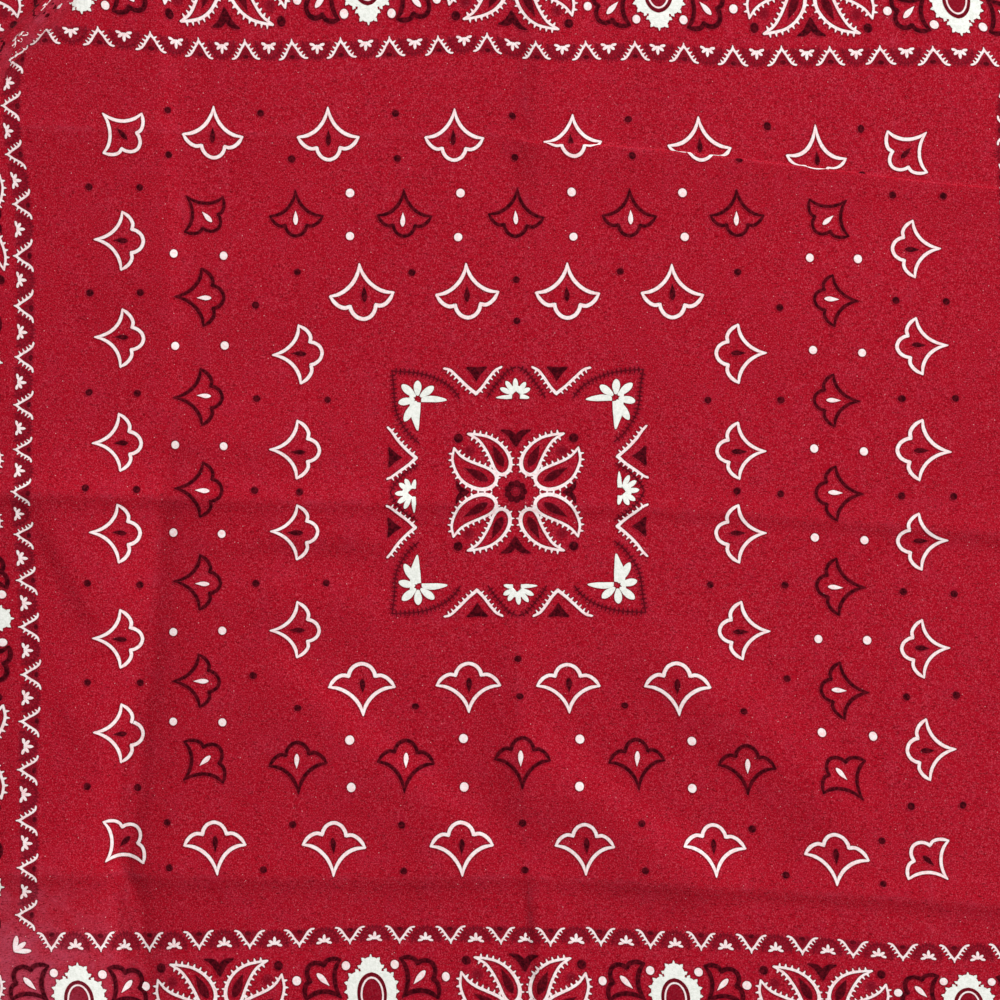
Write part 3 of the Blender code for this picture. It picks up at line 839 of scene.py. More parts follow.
def placed(patch, u=0.0, v=0.0, turn=0.0, mirror=(1.0, 1.0), size=1.0):
    """A patch mirrored, sized, turned by degrees and moved to (u, v)."""
    angle = np.radians(turn)
    at = patch.at * mirror * size
    at = at @ np.array(((np.cos(angle), np.sin(angle)), (-np.sin(angle), np.cos(angle))))
    faces = patch.faces[:, ::-1] if mirror[0] * mirror[1] < 0 else patch.faces
    return patch._replace(at=at + (u, v), faces=faces)


def four_ways(patches):
    """A quarter's patches mirrored into all four quarters."""
    quarter = gather(patches)
    return [placed(quarter, mirror=(a, b)) for a in (1.0, -1.0) for b in (1.0, -1.0)]


# No two prints of a motif are quite alike, and this is the one source of that chance.
rng = np.random.default_rng(11)


def copies(motif, places, loose=1.0):
    """Copies of a motif at (u, v, turn) or (u, v, turn, size), each a little off."""
    result = []
    for u, v, turn, *size in places:
        more, lean, du, dv = rng.normal(0.0, 1.0, 4) * (0.022, 1.6, 0.25, 0.25) * loose
        scale = (size or [1.0])[0] * (1.0 + more)
        result.append(placed(motif, u + du, v + dv, turn + lean, size=scale))
    return result


# The print isn't quite square on its cloth: the screen and the cloth both gave a little.
# Middle, reach and shift of each drift, in millimetres.
Drift = namedtuple("Drift", "u v reach_u reach_v shift_u shift_v")
PRINT_DRIFTS = (
    Drift(0, 0, 62, 56, -1.3, 0.0),
    Drift(30, 136, 30, 16, -1.2, 1.8),
    Drift(114, 134, 22, 13, 0.4, -4.2),
    Drift(-84, 168, 52, 13, 0.0, -3.4),
    Drift(-135, 168, 30, 14, 2.4, 0.0),
    Drift(96, 168, 36, 13, 0.0, -2.2),
    Drift(-186, 138, 16, 24, -4.2, 0.0),
    Drift(-186, 42, 16, 51, 0.5, -5.8),
    Drift(-186, -72, 16, 46, 4.4, 0.0),
    Drift(-186, -140, 16, 32, 2.6, -1.4),
    Drift(176, 168, 26, 14, 3.0, 0.0),
    Drift(162, 34, 22, 26, 2.6, 1.0),
    Drift(162, -20, 22, 34, 1.2, 0.0),
    Drift(-10, -92, 95, 24, 0.0, 3.4),
    Drift(-38, -176, 58, 20, 0.0, 3.4),
    Drift(25, -168, 18, 12, 0.0, 1.0),
    Drift(-165, -168, 32, 13, 0.0, -1.1),
    Drift(-150, -200, 36, 26, 0.4, -2.9),
    Drift(-120, 168, 20, 13, 0.0, -1.6),
    Drift(140, -118, 45, 50, 2.0, -4.6),
    Drift(165, -168, 36, 13, 0.0, -1.4),
)


def drifted(at):
    """Places with every drift added: shift exp(-((u - u0) / reach)^2 - ((v - v0) / reach)^2)."""
    moved = at.astype(float)
    for drift in PRINT_DRIFTS:
        far = ((at[:, 0] - drift.u) / drift.reach_u) ** 2
        far = far + ((at[:, 1] - drift.v) / drift.reach_v) ** 2
        moved = moved + np.exp(-far)[:, None] * (drift.shift_u, drift.shift_v)
    return moved


def drape(at, lift):
    """Sheet places in millimetres put on the laid cloth, lift above its face.

    Every line wobbles by two small sines, as a hand-cut screen's do.  The grid line
    under each place is looked up, and the cloth's middle surface and normal are read
    between its four neighbours.
    """
    at = drifted(at)
    wave_u, wave_v = at.T / WOBBLE_LENGTH
    u = (at[:, 0] + 0.16 * np.sin(2.1 * wave_v + 0.6) + 0.12 * np.sin(5.3 * wave_u)) * MM
    v = (at[:, 1] + 0.16 * np.sin(1.9 * wave_u + 2.2) + 0.12 * np.sin(4.7 * wave_v)) * MM
    column = grid_line(u, v, COLUMN_LINES, HALF_U, COLUMN_CELLS, 1)
    row = grid_line(v, u, ROW_LINES, HALF_V, ROW_CELLS, 0)
    column = np.clip(column, 0, MIDDLE.shape[1] - 1.001)
    row = np.clip(row, 0, MIDDLE.shape[0] - 1.001)
    i, j = row.astype(int), column.astype(int)
    a, b = (row - i)[:, None], (column - j)[:, None]

    def read(grid):
        return ((1 - a) * ((1 - b) * grid[i, j] + b * grid[i, j + 1])
                + a * ((1 - b) * grid[i + 1, j] + b * grid[i + 1, j + 1]))

    return read(MIDDLE) + read(NORMAL) * (CLOTH_THICKNESS / 2 + lift * MM)[:, None]


def print_piece(name, patches, material):
    """One ink's motifs as a piece on the cloth, lowest first, with its own flat bake map."""
    ink = gather(sorted(patches, key=lambda patch: patch.level.max()))
    crown = INK_SLOPE * np.minimum(ink.depth + BLEED, INK_CROWN)
    points = drape(ink.at, INK_LIFT + ink.level + crown)
    low, high = ink.at.min(axis=0), ink.at.max(axis=0)
    uv = (ink.at - low) / (high - low) * 0.998 + 0.001
    wear_and_sheen_share = wear_and_sheen(ink.at[:, 0] * MM, ink.at[:, 1] * MM)
    piece = mesh_piece(name, points, ink.faces.tolist(),
                       {"wear_and_sheen_share": wear_and_sheen_share, "ink_depth": ink.depth, "ink_strength": ink.strength},
                       material, uv)
    return piece


def ink_material(name, ink, ink_mottled, rim, rim_share, soft, fray, patchy):
    """Pigment printed on the dyed cloth: ink, a stained rim, then bare cloth.

    The ink's share is a smooth step of its depth in millimetres, frayed by noise at
    the size of the threads, times its strength; patchy lets the cloth show through.
    """
    material, tree, shader = cloth_material(name, 0.03, 0.9)
    red, threads, place = dyed_cotton(tree)
    depth = add_node(tree, "ShaderNodeAttribute", attribute_name="ink_depth").outputs["Fac"]
    strength = add_node(tree, "ShaderNodeAttribute", attribute_name="ink_strength").outputs["Fac"]
    fraying = noise(tree, place, 0.55 * MM, detail=1.0)
    frayed = add_node(tree, "ShaderNodeMath", {0: fraying, 1: fray, 2: -fray / 2},
                      operation="MULTIPLY_ADD")
    frayed = add_node(tree, "ShaderNodeMath", {0: depth, 1: frayed.outputs[0]}, operation="ADD")
    share = between(tree, frayed.outputs[0], -soft, soft)
    stained = between(tree, frayed.outputs[0], -0.40, -0.12, 0.0, rim_share)
    mottle = noise(tree, place, 1.1 * MM, detail=2.0, roughness=0.7)
    tone = mixed(tree, between(tree, mottle, 0.40, 0.66), colour(ink), colour(ink_mottled))
    cover = between(tree, mottle, 0.62, 0.36, 1.0 - patchy, 1.0)
    share = add_node(tree, "ShaderNodeMath", {0: share, 1: cover}, operation="MULTIPLY")
    share = add_node(tree, "ShaderNodeMath", {0: share.outputs[0], 1: strength},
                     operation="MULTIPLY")
    base = mixed(tree, stained, red, colour(rim))
    base = mixed(tree, share.outputs[0], base, tone)
    finish_cloth(tree, shader, base, threads, place, 0.35)
    return material


# ---------------------------------------------------------------- motifs
# Traditional bandana motifs: ticked paisleys round a small flower, three-lobed sprigs,
# half daisies, chevrons, drops and dots.  All sizes are millimetres on the flat sheet.


def sprig(width):
    """A three-lobed sprig outline, point up: two hollow flanks and three round lobes."""
    half = []
    for side in (1.0, -1.0):
        half += [
            stroke([(0, 11.6), (side * 0.8, 8.4), (side * 2.6, 5.2), (side * 5.2, 2.7),
                    (side * 8.2, 1.2), (side * 11.3, 0.7)],
                   (0.4 * width, 0.9 * width, width, width, width, 0.6 * width)),
            stroke([(side * 11.2, 0.6), (side * 10.0, -1.3), (side * 8.4, -2.8), (side * 6.5, -3.6),
                    (side * 4.5, -3.3)], (0.6 * width, width, width, width, width)),
        ]
    lobe = stroke([(-4.5, -3.3), (-4.0, -5.0), (-2.5, -6.9), (0, -7.8), (2.5, -6.9), (4.0, -5.0),
                   (4.5, -3.3)], width)
    return gather(half + [lobe])


WHITE_SPRIG = sprig(1.3)
DARK_SPRIG = sprig(1.5)
DARK_SEED = blot(drop((0, 3.6), (0, -2.4), 2.5))
WHITE_SEED = blot(drop((0, 2.9), (0, -3.2), 2.3))
BORDER_SEED = blot(drop((0, 3.4), (0, -3.0), 2.4))
WHITE_DOT = blot(ring(1.55))
DARK_DOT = blot(ring(1.35))

# The two paisleys of the rosette's upper left quarter, from their tips round.
UPPER_PAISLEY = ((-18.0, 22.0), (-13.8, 21.5), (-9.8, 20.5), (-6.0, 18.2), (-3.1, 14.8),
                 (-1.9, 11.2), (-2.5, 8.0), (-4.5, 6.4), (-6.6, 6.8), (-8.2, 8.9), (-9.6, 12.4),
                 (-11.6, 16.2), (-14.2, 19.6), (-18.0, 22.0))
OUTER_PAISLEY = ((-23.2, 16.8), (-20.8, 13.9), (-17.8, 11.9), (-13.9, 10.2), (-9.9, 8.4),
                 (-7.6, 6.3), (-7.3, 3.9), (-9.2, 1.7), (-12.8, 0.9), (-16.9, 2.0), (-20.6, 4.7),
                 (-22.8, 8.4), (-23.9, 12.6), (-23.2, 16.8))
PAISLEY_WIDTHS = (0.8, 0.95, 1.0, 1.25, 1.45, 1.25, 1.0, 0.95, 0.8)


def paisley(points):
    """A hollow paisley, thicker round its foot, with small thorns standing out all round."""
    return ticks(points, 2.3, 1.4, 1.1) + [stroke(points, PAISLEY_WIDTHS)]


# A petal's half outline: how far from its foot to its tip, and its share of the half width.
PETAL_SIDE = ((0.0, 0.35), (0.45, 0.95), (0.8, 0.8))


def petals(middle, rows, width, start, bleed=BLEED):
    """Long thin petals round a middle: each row is its direction and its length."""
    middle = np.array(middle, float)
    result = []
    for turn, length in rows:
        way = np.array((np.cos(np.radians(turn)), np.sin(np.radians(turn))))
        tip = middle + way * length
        foot = middle + way * start
        across = np.array((-way[1], way[0])) * width / 2
        shape = [foot + (tip - foot) * part - across * share for part, share in PETAL_SIDE]
        shape += [tip]
        shape += [foot + (tip - foot) * part + across * share for part, share in PETAL_SIDE[::-1]]
        result.append(blot(shape, bleed=bleed))
    return result


def rosette_white():
    """Eight thorned paisleys, two in each quarter, tips to the corners."""
    return gather(four_ways(paisley(UPPER_PAISLEY) + paisley(OUTER_PAISLEY)))


def rosette_dark():
    """The rosette's dark print: drops in the paisleys, a flower, arrowheads and dots."""
    quarter = [
        blot(drop((-8.8, 17.8), (-4.7, 9.4), 4.0), 0.9),
        blot(drop((-19.4, 9.2), (-10.5, 4.0), 3.8), 0.9),
        blot(ring(1.7, middle=(-21.6, 20.4))),
        blot(ring(1.9, middle=(-17.6, 15.6)), 0.42, inset=1.2, edge_strength=0.0),
    ]
    parts = four_ways(quarter)
    parts += [blot(ring(3.2, count=18), 0.6, inset=1.0, edge_strength=0.2)]
    parts += [over(blot(ring(1.35, middle=(x, y), count=8)), 0.03) for x, y in ring(2.9, count=9)]
    parts += [over(blot(ring(1.0, count=10), 0.1, bleed=0.1), 0.06)]
    head = gather([stroke([(0, -2.6), (side * 0.9, 0.0), (side * 2.6, 1.7), (side * 5.2, 2.6)],
                          (1.6, 2.9, 2.2, 0.7)) for side in (1.0, -1.0)])
    for turn, reach, size in ((0, 20.2, 0.78), (180, 20.2, 0.78), (90, 20.4, 1.0), (270, 20.4, 1.0)):
        angle = np.radians(turn)
        parts.append(placed(head, reach * np.cos(angle), reach * np.sin(angle), turn - 90, size=size))
    return gather(parts)


ROSETTE_WHITE = rosette_white()
ROSETTE_DARK = rosette_dark()

# ---------------------------------------------------------------- the white print
# Discharge-printed white: the dye is taken out and a matt white pigment left, so the
# lines are crisp, slightly frayed at thread size, with a thin dark stain round them.

DISCHARGE_STAIN = "#5E061A"
WHITE_INK = ink_material("discharge_white_pigment", "#FFF4F4", "#FFD9DA", DISCHARGE_STAIN,
                         rim_share=0.90, soft=0.10, fray=0.24, patchy=0.02)
IVORY_INK = ink_material("discharge_ivory_pigment", "#FAFCF6", "#ECF0E8", DISCHARGE_STAIN,
                         rim_share=0.90, soft=0.10, fray=0.24, patchy=0.02)


def both_ways(rows):
    """Places mirrored left and right and up and down, without doubling the middle."""
    found = {(a * u, b * v) for u, v in rows for a in (1, -1) for b in (1, -1)}
    return sorted({(u + 0.0, v + 0.0) for u, v in found})


def corner_turn(u, v):
    """The turn that points a motif out of its own corner, at 45 degrees."""
    return np.degrees(np.arctan2(np.sign(v), np.sign(u))) - 90


# Rings of sprigs: how far out their rows and columns are, and the stations along them;
# the corner's place; then the size of the sprigs in the rows and in the columns.
Ring = namedtuple("Ring", "row_v row_u column_u column_v corner row_size column_size")
OUTER_RING = Ring(132.4, (22.9, 70.5, 114.4), 148.9, (17.1, 56.3, 92.6), (148.1, 132.4), 1.00, 0.95)
SECOND_RING = Ring(102.8, (0.0, 42.8, 83.3), 118.5, (0.0, 34.9, 72.4), (117.8, 102.8), 0.92, 0.90)
THIRD_RING = Ring(73.5, (18.8, 58.5), 82.1, (15.4, 52.1), None, 1.04, 0.95)


def ring_places(layout):
    """Every sprig's place, turn and size in a ring."""
    places = [(u, v, 0 if v > 0 else 180, layout.row_size)
              for u, v in both_ways([(u, layout.row_v) for u in layout.row_u])]
    places += [(u, v, -90 if u > 0 else 90, layout.column_size)
               for u, v in both_ways([(layout.column_u, v) for v in layout.column_v])]
    if layout.corner:
        places += [(u, v, corner_turn(u, v), layout.column_size)
                   for u, v in both_ways([layout.corner])]
    return places


white_places = ring_places(OUTER_RING) + ring_places(THIRD_RING)
dark_places = ring_places(SECOND_RING)

# Dots between the sprigs, in one quarter of the print.
WHITE_DOTS = ((21.4, 112.2), (63.0, 112.2), (21.4, 95.4), (63.0, 95.4), (129.2, 16.7), (110.8, 16.7),
              (129.2, 53.6), (110.8, 53.6), (129.2, 88.1), (110.8, 88.1))
DARK_DOTS = ((0, 142.1), (0, 125.3), (44.6, 142.1), (44.6, 125.3), (96.4, 142.1), (84.8, 125.3),
             (131.3, 142.1), (131.3, 125.3), (161.6, 0), (142.5, 0), (161.6, 36.2), (142.5, 36.2),
             (161.6, 73.1), (142.5, 73.1), (161.6, 112.5), (142.5, 112.5), (0, 79.5), (0, 63.8),
             (39.4, 82.9), (82.9, 82.9), (99, 0), (82.1, 0), (99, 34.7), (71.6, 34.7), (99, 69.5))


def medallion_white():
    """The middle square's chevrons: two to a side, thorned towards the middle."""
    widths = (1.25, 1.05, 1.05, 0.95, 0.8)
    long_arm = [(0, 0), (-3.4, 2.9), (-6.8, 6.2), (-9.8, 8.9), (-12.2, 9.6)]
    short_arm = [(0, 0), (2.2, 2.4), (4.6, 5.6), (7.0, 8.4), (9.5, 9.7)]
    chevron = gather(ticks(long_arm, 2.2, 1.5, 0.9) + ticks(short_arm, 2.2, 1.5, 0.9, -1.0)
                     + [stroke(long_arm, widths), stroke(short_arm, widths)])
    side_arm = [(0, 0), (3.0, 3.4), (6.6, 6.8), (9.4, 8.9), (11.2, 10.6)]
    side_short = [(0, 0), (-2.8, 2.9), (-5.6, 6.6), (-7.6, 9.4), (-8.2, 10.9)]
    side = gather(ticks(side_arm, 2.2, 1.5, 0.9, -1.0) + ticks(side_short, 2.2, 1.5, 0.9)
                  + [stroke(side_arm, widths), stroke(side_short, widths)])
    return gather(four_ways([placed(chevron, -15.2, 37.0), placed(side, -37.9, 13.2, 90)]))


def daisies():
    """Half daisies: one in each corner of the middle square and one on each side."""
    corner = petals((0, 0), ((38, 7.6), (92, 6.9), (139, 8.0), (194, 7.4), (241, 10.0)), 2.9, 1.3)
    corner += [blot([(1.3, -1.3), (1.7, 0.5), (5.0, 1.1), (8.6, 0.6), (11.4, -0.6), (8.0, -1.3)])]
    corner += [blot([(1.1, -1.6), (0.9, -6.0), (0.2, -12.1), (-1.4, -9.4), (-2.6, -5.4), (-0.9, -1.6)])]
    corner += [blot([(-0.9, -1.5), (-2.5, -3.6), (-3.0, -0.8), (-2.9, 2.0), (-1.5, 1.1), (-1.6, -0.4)])]
    parts = four_ways([placed(gather(corner), -37.3, 35.4)])
    half = petals((0, 0), ((28, 5.8), (56, 6.1), (94, 6.5), (126, 6.7), (155, 6.6)), 1.9, 1.5)
    half += [blot([(1.5, -1.3), (1.6, 0.2), (3.0, 0.3), (4.9, -0.6), (4.4, -1.3)]),
             blot([(-1.5, -1.3), (-4.4, -1.4), (-7.6, -0.9), (-5.0, -0.1), (-1.6, 0.2)]),
             blot([(1.5, 0.0), (1.0, 1.2), (0, 1.7), (-1.0, 1.2), (-1.5, 0.0), (-3.2, 1.0), (-2.0, 3.1),
                   (0, 3.7), (2.0, 3.1), (3.2, 1.0)])]
    half = gather(half)
    parts += [placed(half, 0, 36.2), placed(half, 0, -36.2, 180), placed(half, -39.2, 0, 90),
              placed(half, 39.2, 0, -90)]
    return gather(parts)


def dotted_line(line, strength=0.85):
    """A thin dark line with short thorns on both of its sides, as a row of dots."""
    return (ticks(line, 1.7, 1.05, 0.9, 1.0, strength) + ticks(line, 1.7, 1.05, 0.9, -1.0, strength)
            + [stroke(line, 0.55, strength)])


def scallops_dark():
    """The middle square's dotted dark arches and the small triangles in its chevrons."""
    leaf = [(-21.4, 35.4), (-23.6, 38.6), (-27.2, 41.4), (-32.6, 43.7), (-39.0, 45.1), (-47.2, 45.6)]
    down = [(-47.2, 45.6), (-46.3, 39.3), (-45.9, 34.0), (-45.1, 29.8), (-43.2, 26.0), (-40.3, 21.9),
            (-36.8, 18.8)]
    arch = [(-10.9, 35.5), (-8.8, 38.8), (-6.2, 41.9), (-3.6, 45.0), (-0.4, 46.7)]
    side = [(-37.3, 10.4), (-41.4, 7.8), (-45.4, 3.6), (-47.4, 0.2)]
    parts = []
    for line in (leaf, down, arch, side):
        parts += dotted_line(line)
    parts += [blot([(-15.2, 41.6), (-13.4, 44.4), (-11.2, 46.9), (-15.2, 46.8), (-19.2, 46.9),
                    (-17.2, 44.4)])]
    parts += [blot([(-43.0, 13.3), (-45.6, 15.1), (-48.3, 17.2), (-48.2, 13.3), (-48.3, 9.4),
                    (-45.6, 11.5)])]
    return gather(four_ways(parts))


# The zigzag bands: a chevron and a small half daisy by turns, twice round the cloth.
# Half width and half height of each, how many chevrons fit along them, and the small
# gap left at the corners as a share of their pitch.
BAND_INNER = (186.4, 168.8)
BAND_OUTER = (248.4, 230.0)
INNER_CHEVRONS = (20, 19)
OUTER_CHEVRONS = (27, 25)
CORNER_GAP = 0.05


def band_white():
    """One chevron of the band, point outwards, with its thorns outside."""
    arm = [(0, 2.9), (1.4, 0.9), (2.9, -1.6), (4.0, -2.8), (5.2, -3.1)]
    parts = []
    for side in (1.0, -1.0):
        line = [(side * x, y) for x, y in arm]
        parts += ticks(line, 1.9, 1.4, 0.85, side, bleed=OVERPRINT_BLEED)
        parts += [stroke(line, (0.9, 0.75, 0.75, 0.75), bleed=OVERPRINT_BLEED)]
    return gather(parts + [stroke([(0, 2.7), (0, 3.9)], (0.9, 0.4), bleed=OVERPRINT_BLEED)])


def band_daisy():
    """One half daisy of the band: two flat petals on its base and three pointing in."""
    parts = petals((0, 2.3), ((-38, 2.9), (-90, 3.4), (-142, 2.9)), 1.2, 0.0, OVERPRINT_BLEED)
    parts += [blot([(side * 0.4, 2.0), (side * 1.6, 2.9), (side * 3.0, 2.9), (side * 2.4, 2.0)],
                   bleed=OVERPRINT_BLEED) for side in (1.0, -1.0)]
    return gather(parts + [blot(ring(0.9, 0.6, (0, 1.6), 8), bleed=OVERPRINT_BLEED)])


def band_dark():
    """One dotted arch of the band round its half daisy, and the tint inside it."""
    arch = [(-5.1, 2.9), (-4.5, 0.3), (-2.7, -1.9), (0, -2.7), (2.7, -1.9), (4.5, 0.3), (5.1, 2.9)]
    tint = blot([(-5.6, 2.9), (-4.8, 0.0), (-2.8, -2.2), (0, -2.9), (2.8, -2.2), (4.8, 0.0),
                 (5.6, 2.9)], 0.28, inset=1.2, edge_strength=0.05)
    dots = ticks(arch, 1.4, 1.15, 0.9, 1.0, 0.52) + ticks(arch, 1.4, 0.9, 0.9, -1.0, 0.52)
    dots += [stroke(arch, 0.7, 0.45)]
    return gather([over(tint, -0.03)] + dots)


def band_seed():
    """The dark seed inside a chevron, and the tint that fades up to its point."""
    tint = blot([(0, 1.4), (3.0, -2.8), (-3.0, -2.8)], 0.42, inset=1.0, edge_strength=0.05)
    seed = blot(ring(1.3, 0.95, (0, -2.2), 10), 0.9, inset=0.6, edge_strength=0.5)
    return gather([over(tint, -0.03), seed])


def band_places(half, chevrons):
    """Places of the chevrons and of the half daisies between them, round one band."""
    chevron, daisy = [], []
    for turn in (0, 180, 90, 270):
        level = turn in (0, 180)
        along, across = half if level else half[::-1]
        count = chevrons[0] if level else chevrons[1]
        pitch = 2 * along / (count + CORNER_GAP)
        way = np.array((np.cos(np.radians(turn)), np.sin(np.radians(turn))))
        out = np.array((-way[1], way[0])) * across
        for places, number in ((chevron, count), (daisy, count - 1)):
            for step in range(number):
                s = (step - (number - 1) / 2) * pitch
                places.append((*(way * s + out), turn))
    return chevron, daisy


def corner_leaf():
    """Three petals that close a band's corner, pointing back to the middle."""
    return gather(petals((3.6, 4.6), ((-95, 6.4), (-135, 5.6), (-175, 6.2)), 1.9, 0.0))


# The wide border between the bands: rosettes and pairs of eyes by turns.
BORDER_MIDDLE = ((BAND_INNER[0] + BAND_OUTER[0]) / 2, (BAND_INNER[1] + BAND_OUTER[1]) / 2)


def border_places():
    """Places of the rosettes and of the pairs of eyes, a rosette in each corner."""
    along_u, along_v = BORDER_MIDDLE
    rosettes = both_ways([(0, along_v), (along_u / 2, along_v), (along_u, along_v), (along_u, 0),
                          (along_u, along_v / 2)])
    eyes = [(u, v, 0) for u, v in both_ways([(along_u / 4, along_v), (along_u * 3 / 4, along_v)])]
    eyes += [(u, v, 90) for u, v in both_ways([(along_u, along_v / 4), (along_u, along_v * 3 / 4)])]
    return rosettes, eyes


def eye_white():
    """A pair of eyes back to back: thorned ivory bodies with a knob at the far end."""
    half = [(0.0, 21.6), (1.7, 21.2), (3.0, 20.1), (3.8, 18.6), (3.9, 17.3), (3.7, 16.6),
            (4.9, 16.6), (6.6, 16.1), (8.0, 14.8), (8.9, 12.9), (9.1, 10.6), (8.8, 8.4), (7.6, 5.2),
            (5.2, 2.4), (2.4, 1.0), (0.0, 0.7)]
    body = half + [(-x, y) for x, y in half[-2:0:-1]]
    eye = gather(ticks(body + body[:1], 2.9, 0.85, 1.4) + [blot(body, inset=0.8, step=0.5)]
                 + [stroke([(0.0, 21.4), (0.0, 22.4)], (1.1, 0.4))])
    return gather([eye, placed(eye, turn=180)])


def eye_dark():
    """The eyes' dark oval rims, round cores of mottled dark red."""
    half = [(0.0, 15.7), (1.9, 15.1), (3.6, 13.5), (4.6, 11.2), (4.8, 8.4), (4.0, 5.2), (2.2, 3.0),
            (0.0, 2.3)]
    rim = half + [(-x, y) for x, y in half[-2:0:-1]]
    core = blot([(x * 1.04, y) for x, y in rim], 0.18, inset=1.0, bleed=0.05)
    flecks = [over(blot(ring(0.5, 0.7, place, 8), 0.6, bleed=0.25), 0.07)
              for place in ((-1.4, 9.6), (0.9, 11.4), (1.5, 7.2), (-0.6, 5.4), (0.1, 8.4))]
    rim = over(stroke(rim + rim[:1], 0.95, 0.72, bleed=0.1), 0.10)
    eye = gather([over(core, 0.07), *flecks, rim])
    return gather([eye, placed(eye, turn=180)])


def eye_rings():
    """The white ring inside each eye, drawn inside its dark rim."""
    loop = ring(3.9, 5.7, (0, 8.8), 20)
    loop = np.concatenate((loop, loop[:1]))
    eye = over(stroke(loop, 0.62, bleed=OVERPRINT_BLEED), 0.16)
    return gather([eye, placed(eye, turn=180)])


# A sprig stands in each corner of a pair of eyes and points in between them.
QUARTERS = ((1, 1), (1, -1), (-1, 1), (-1, -1))
eye_sprig_places = [(a * 18.0, b * 14.6, a * (135 if b > 0 else 45)) for a, b in QUARTERS]
EYE_SPRIGS = gather([placed(sprig(2.1), *place, size=0.82) for place in eye_sprig_places])
EYE_SEEDS = gather([placed(BORDER_SEED, *place) for place in eye_sprig_places]
                   + [placed(WHITE_DOT, a * 9.0, b * 18.7) for a, b in QUARTERS])

# How far the white dots beside a rosette lie from its middle, along and across the border.
DOT_ALONG = 28.1
DOT_ACROSS = 14.2


def dots_beside(rosettes):
    """Four white dots beside each rosette of the border but the ones in its corners."""
    dots = []
    for u, v, _ in rosettes:
        in_column = abs(u) > BORDER_MIDDLE[0] - 1
        if in_column and abs(v) > BORDER_MIDDLE[1] - 1:
            continue
        far_u, far_v = (DOT_ACROSS, DOT_ALONG) if in_column else (DOT_ALONG, DOT_ACROSS)
        dots += [(u + a * far_u, v + b * far_v, 0) for a, b in QUARTERS]
    return dots


# How far the border's motifs slipped when they were printed: the middle and the reach of
# each slip along its side of the border, and its shift to the right, in millimetres.
Slip = namedtuple("Slip", "middle reach shift")
LOWER_SLIPS = (Slip(-110, 85, -5.2), Slip(90, 40, 1.2))
UPPER_SLIPS = (Slip(150, 90, 6.5),)
LEFT_ROSETTE_SLIPS = (Slip(-50, 60, -3.0),)
LEFT_EYE_SLIPS = (Slip(-50, 60, 3.0),)


def slip_at(along, slips):
    """The sum of shift exp(-((along - middle) / reach)^2)."""
    return sum(slip.shift * np.exp(-((along - slip.middle) / slip.reach) ** 2) for slip in slips)


def slipped(places, left_slips):
    """The border's motifs, printed a few millimetres to the side of their true places."""
    result = []
    for u, v, turn in places:
        if v < -BAND_INNER[1]:
            u = u + slip_at(u, LOWER_SLIPS)
        elif v > BAND_INNER[1]:
            u = u + slip_at(u, UPPER_SLIPS)
        elif u < -BAND_INNER[0]:
            u = u + slip_at(v, left_slips)
        result.append((u, v, turn))
    return result


rosette_places, eye_places = border_places()
border_rosettes = [(u, v, 0.0) for u, v in rosette_places]
border_dots = slipped(dots_beside(border_rosettes), LEFT_ROSETTE_SLIPS)
border_rosettes = slipped(border_rosettes, LEFT_ROSETTE_SLIPS)
eye_places = slipped(eye_places, LEFT_EYE_SLIPS)

inner_chevrons, inner_daisies = band_places(BAND_INNER, INNER_CHEVRONS)
outer_chevrons, outer_daisies = band_places(BAND_OUTER, OUTER_CHEVRONS)
chevron_places = inner_chevrons + outer_chevrons
daisy_places = inner_daisies + outer_daisies
leaf_places = [(u, v, corner_turn(u, v) + 45)
               for band in (BAND_INNER, BAND_OUTER) for u, v in both_ways([band])]

white_middle = copies(WHITE_SPRIG, white_places) + copies(WHITE_SEED, dark_places)
white_middle += copies(WHITE_DOT, [(u, v, 0) for u, v in both_ways(WHITE_DOTS)])
white_middle += [ROSETTE_WHITE, medallion_white()]
print_middle = print_piece("white_print_middle", white_middle, WHITE_INK)

white_border = copies(ROSETTE_WHITE, border_rosettes, 0.3) + copies(EYE_SEEDS, eye_places, 0.3)
white_border += copies(WHITE_DOT, border_dots) + copies(eye_rings(), eye_places, 0.0)
white_border += copies(band_white(), chevron_places, 0.6) + copies(band_daisy(), daisy_places, 0.8)
white_border += copies(corner_leaf(), leaf_places, 0.5)
print_border = print_piece("white_print_border", white_border, WHITE_INK)

ivory = [daisies()] + copies(eye_white(), eye_places, 0.0)
print_ivory = print_piece("ivory_print", ivory, IVORY_INK)

# ---------------------------------------------------------------- the dark print
# A plum-black pigment printed over the red: thin, so the cloth shows through it in
# patches, and it bleeds a little along the threads.

DARK_INK = ink_material("overprinted_plum_pigment", "#340009", "#500512", "#700920",
                        rim_share=0.40, soft=0.22, fray=0.50, patchy=0.15)

dark_middle = copies(DARK_SPRIG, dark_places) + copies(DARK_SEED, white_places)
dark_middle += copies(DARK_DOT, [(u, v, 0) for u, v in both_ways(DARK_DOTS)])
dark_middle += [ROSETTE_DARK, scallops_dark()]
print_dark = print_piece("dark_print_middle", dark_middle, DARK_INK)

dark_border = copies(ROSETTE_DARK, border_rosettes, 0.3) + copies(EYE_SPRIGS, eye_places, 0.3)
dark_border += copies(eye_dark(), eye_places, 0.0)
print_dark_border = print_piece("dark_print_border", dark_border, DARK_INK)

dark_bands = copies(band_dark(), daisy_places, 0.8) + copies(band_seed(), chevron_places, 0.8)
print_dark_bands = print_piece("dark_print_bands", dark_bands, DARK_INK)

# ---------------------------------------------------------------- surface, light, camera
# A plain pale table top under the cloth, a large soft light from the upper right and a
# weak fill, and the camera straight above the middle of the print.

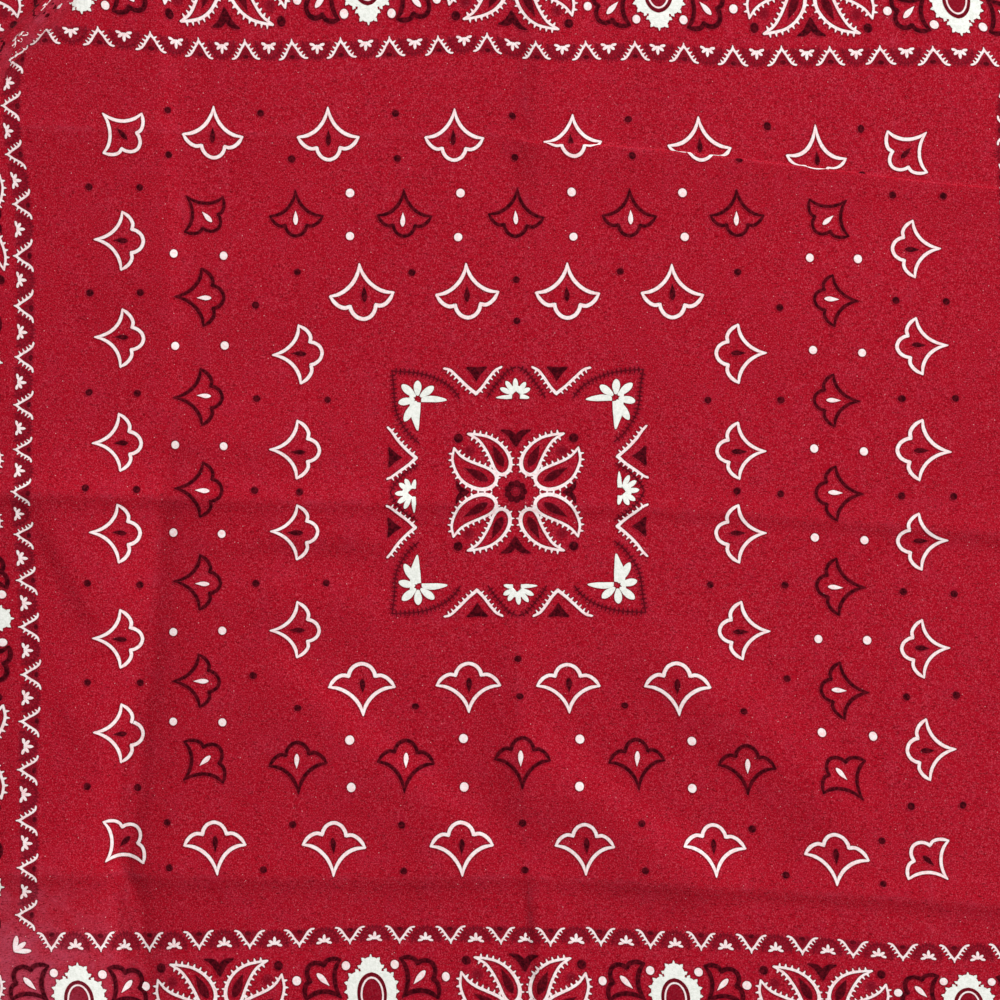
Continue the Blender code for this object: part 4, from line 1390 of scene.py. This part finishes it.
FLOOR_DROP = 0.15 * MM
FLOOR_SIZE = 3.0
table_mesh = bpy.data.meshes.new("table_top")
table_corners = [(a * FLOOR_SIZE / 2, b * FLOOR_SIZE / 2, -FLOOR_DROP)
                 for a, b in ((-1, -1), (1, -1), (1, 1), (-1, 1))]
table_mesh.from_pydata(table_corners, [], [(0, 1, 2, 3)])
table_top = bpy.data.objects.new("table_top", table_mesh)
bpy.context.scene.collection.objects.link(table_top)
table_paint = bpy.data.materials.new("matt_pale_laminate")
table_paint.use_nodes = True
table_shader = table_paint.node_tree.nodes["Principled BSDF"]
table_shader.inputs["Base Color"].default_value = colour("#DCDAD6")
table_shader.inputs["Roughness"].default_value = 0.8
table_mesh.materials.append(table_paint)

world = bpy.data.worlds.new("soft_room")
bpy.context.scene.world = world
world.use_nodes = True
world.node_tree.nodes["Background"].inputs["Color"].default_value = colour("#F4F1EE")
world.node_tree.nodes["Background"].inputs["Strength"].default_value = 0.36


def area_light(name, place, size, power):
    """A square soft light that faces the middle of the cloth."""
    data = bpy.data.lights.new(name, "AREA")
    data.shape = "SQUARE"
    data.size = size
    data.energy = power
    lamp = bpy.data.objects.new(name, data)
    lamp.location = place
    lamp.rotation_euler = (-Vector(place)).to_track_quat("-Z", "Y").to_euler()
    bpy.context.scene.collection.objects.link(lamp)


area_light("window", (2.15, 2.15, 1.45), 0.9, 150.0)
area_light("fill", (-1.5, -1.2, 1.6), 1.4, 9.0)

FRAMED = 375 * MM
CAMERA_HEIGHT = 1.0
SENSOR_WIDTH = 36.0
AIM = (-7.1 * MM, -3.0 * MM)
camera_data = bpy.data.cameras.new("above")
camera_data.sensor_width = SENSOR_WIDTH
camera_data.lens = SENSOR_WIDTH * CAMERA_HEIGHT / FRAMED
camera = bpy.data.objects.new("above", camera_data)
middle_of_print = lie(np.zeros(1), np.zeros(1))[0] - OUTLINE_CENTRE
camera.location = (middle_of_print[0] + AIM[0], middle_of_print[1] + AIM[1], CAMERA_HEIGHT)
bpy.context.scene.collection.objects.link(camera)
bpy.context.scene.camera = camera
bpy.context.scene.view_settings.view_transform = "Standard"
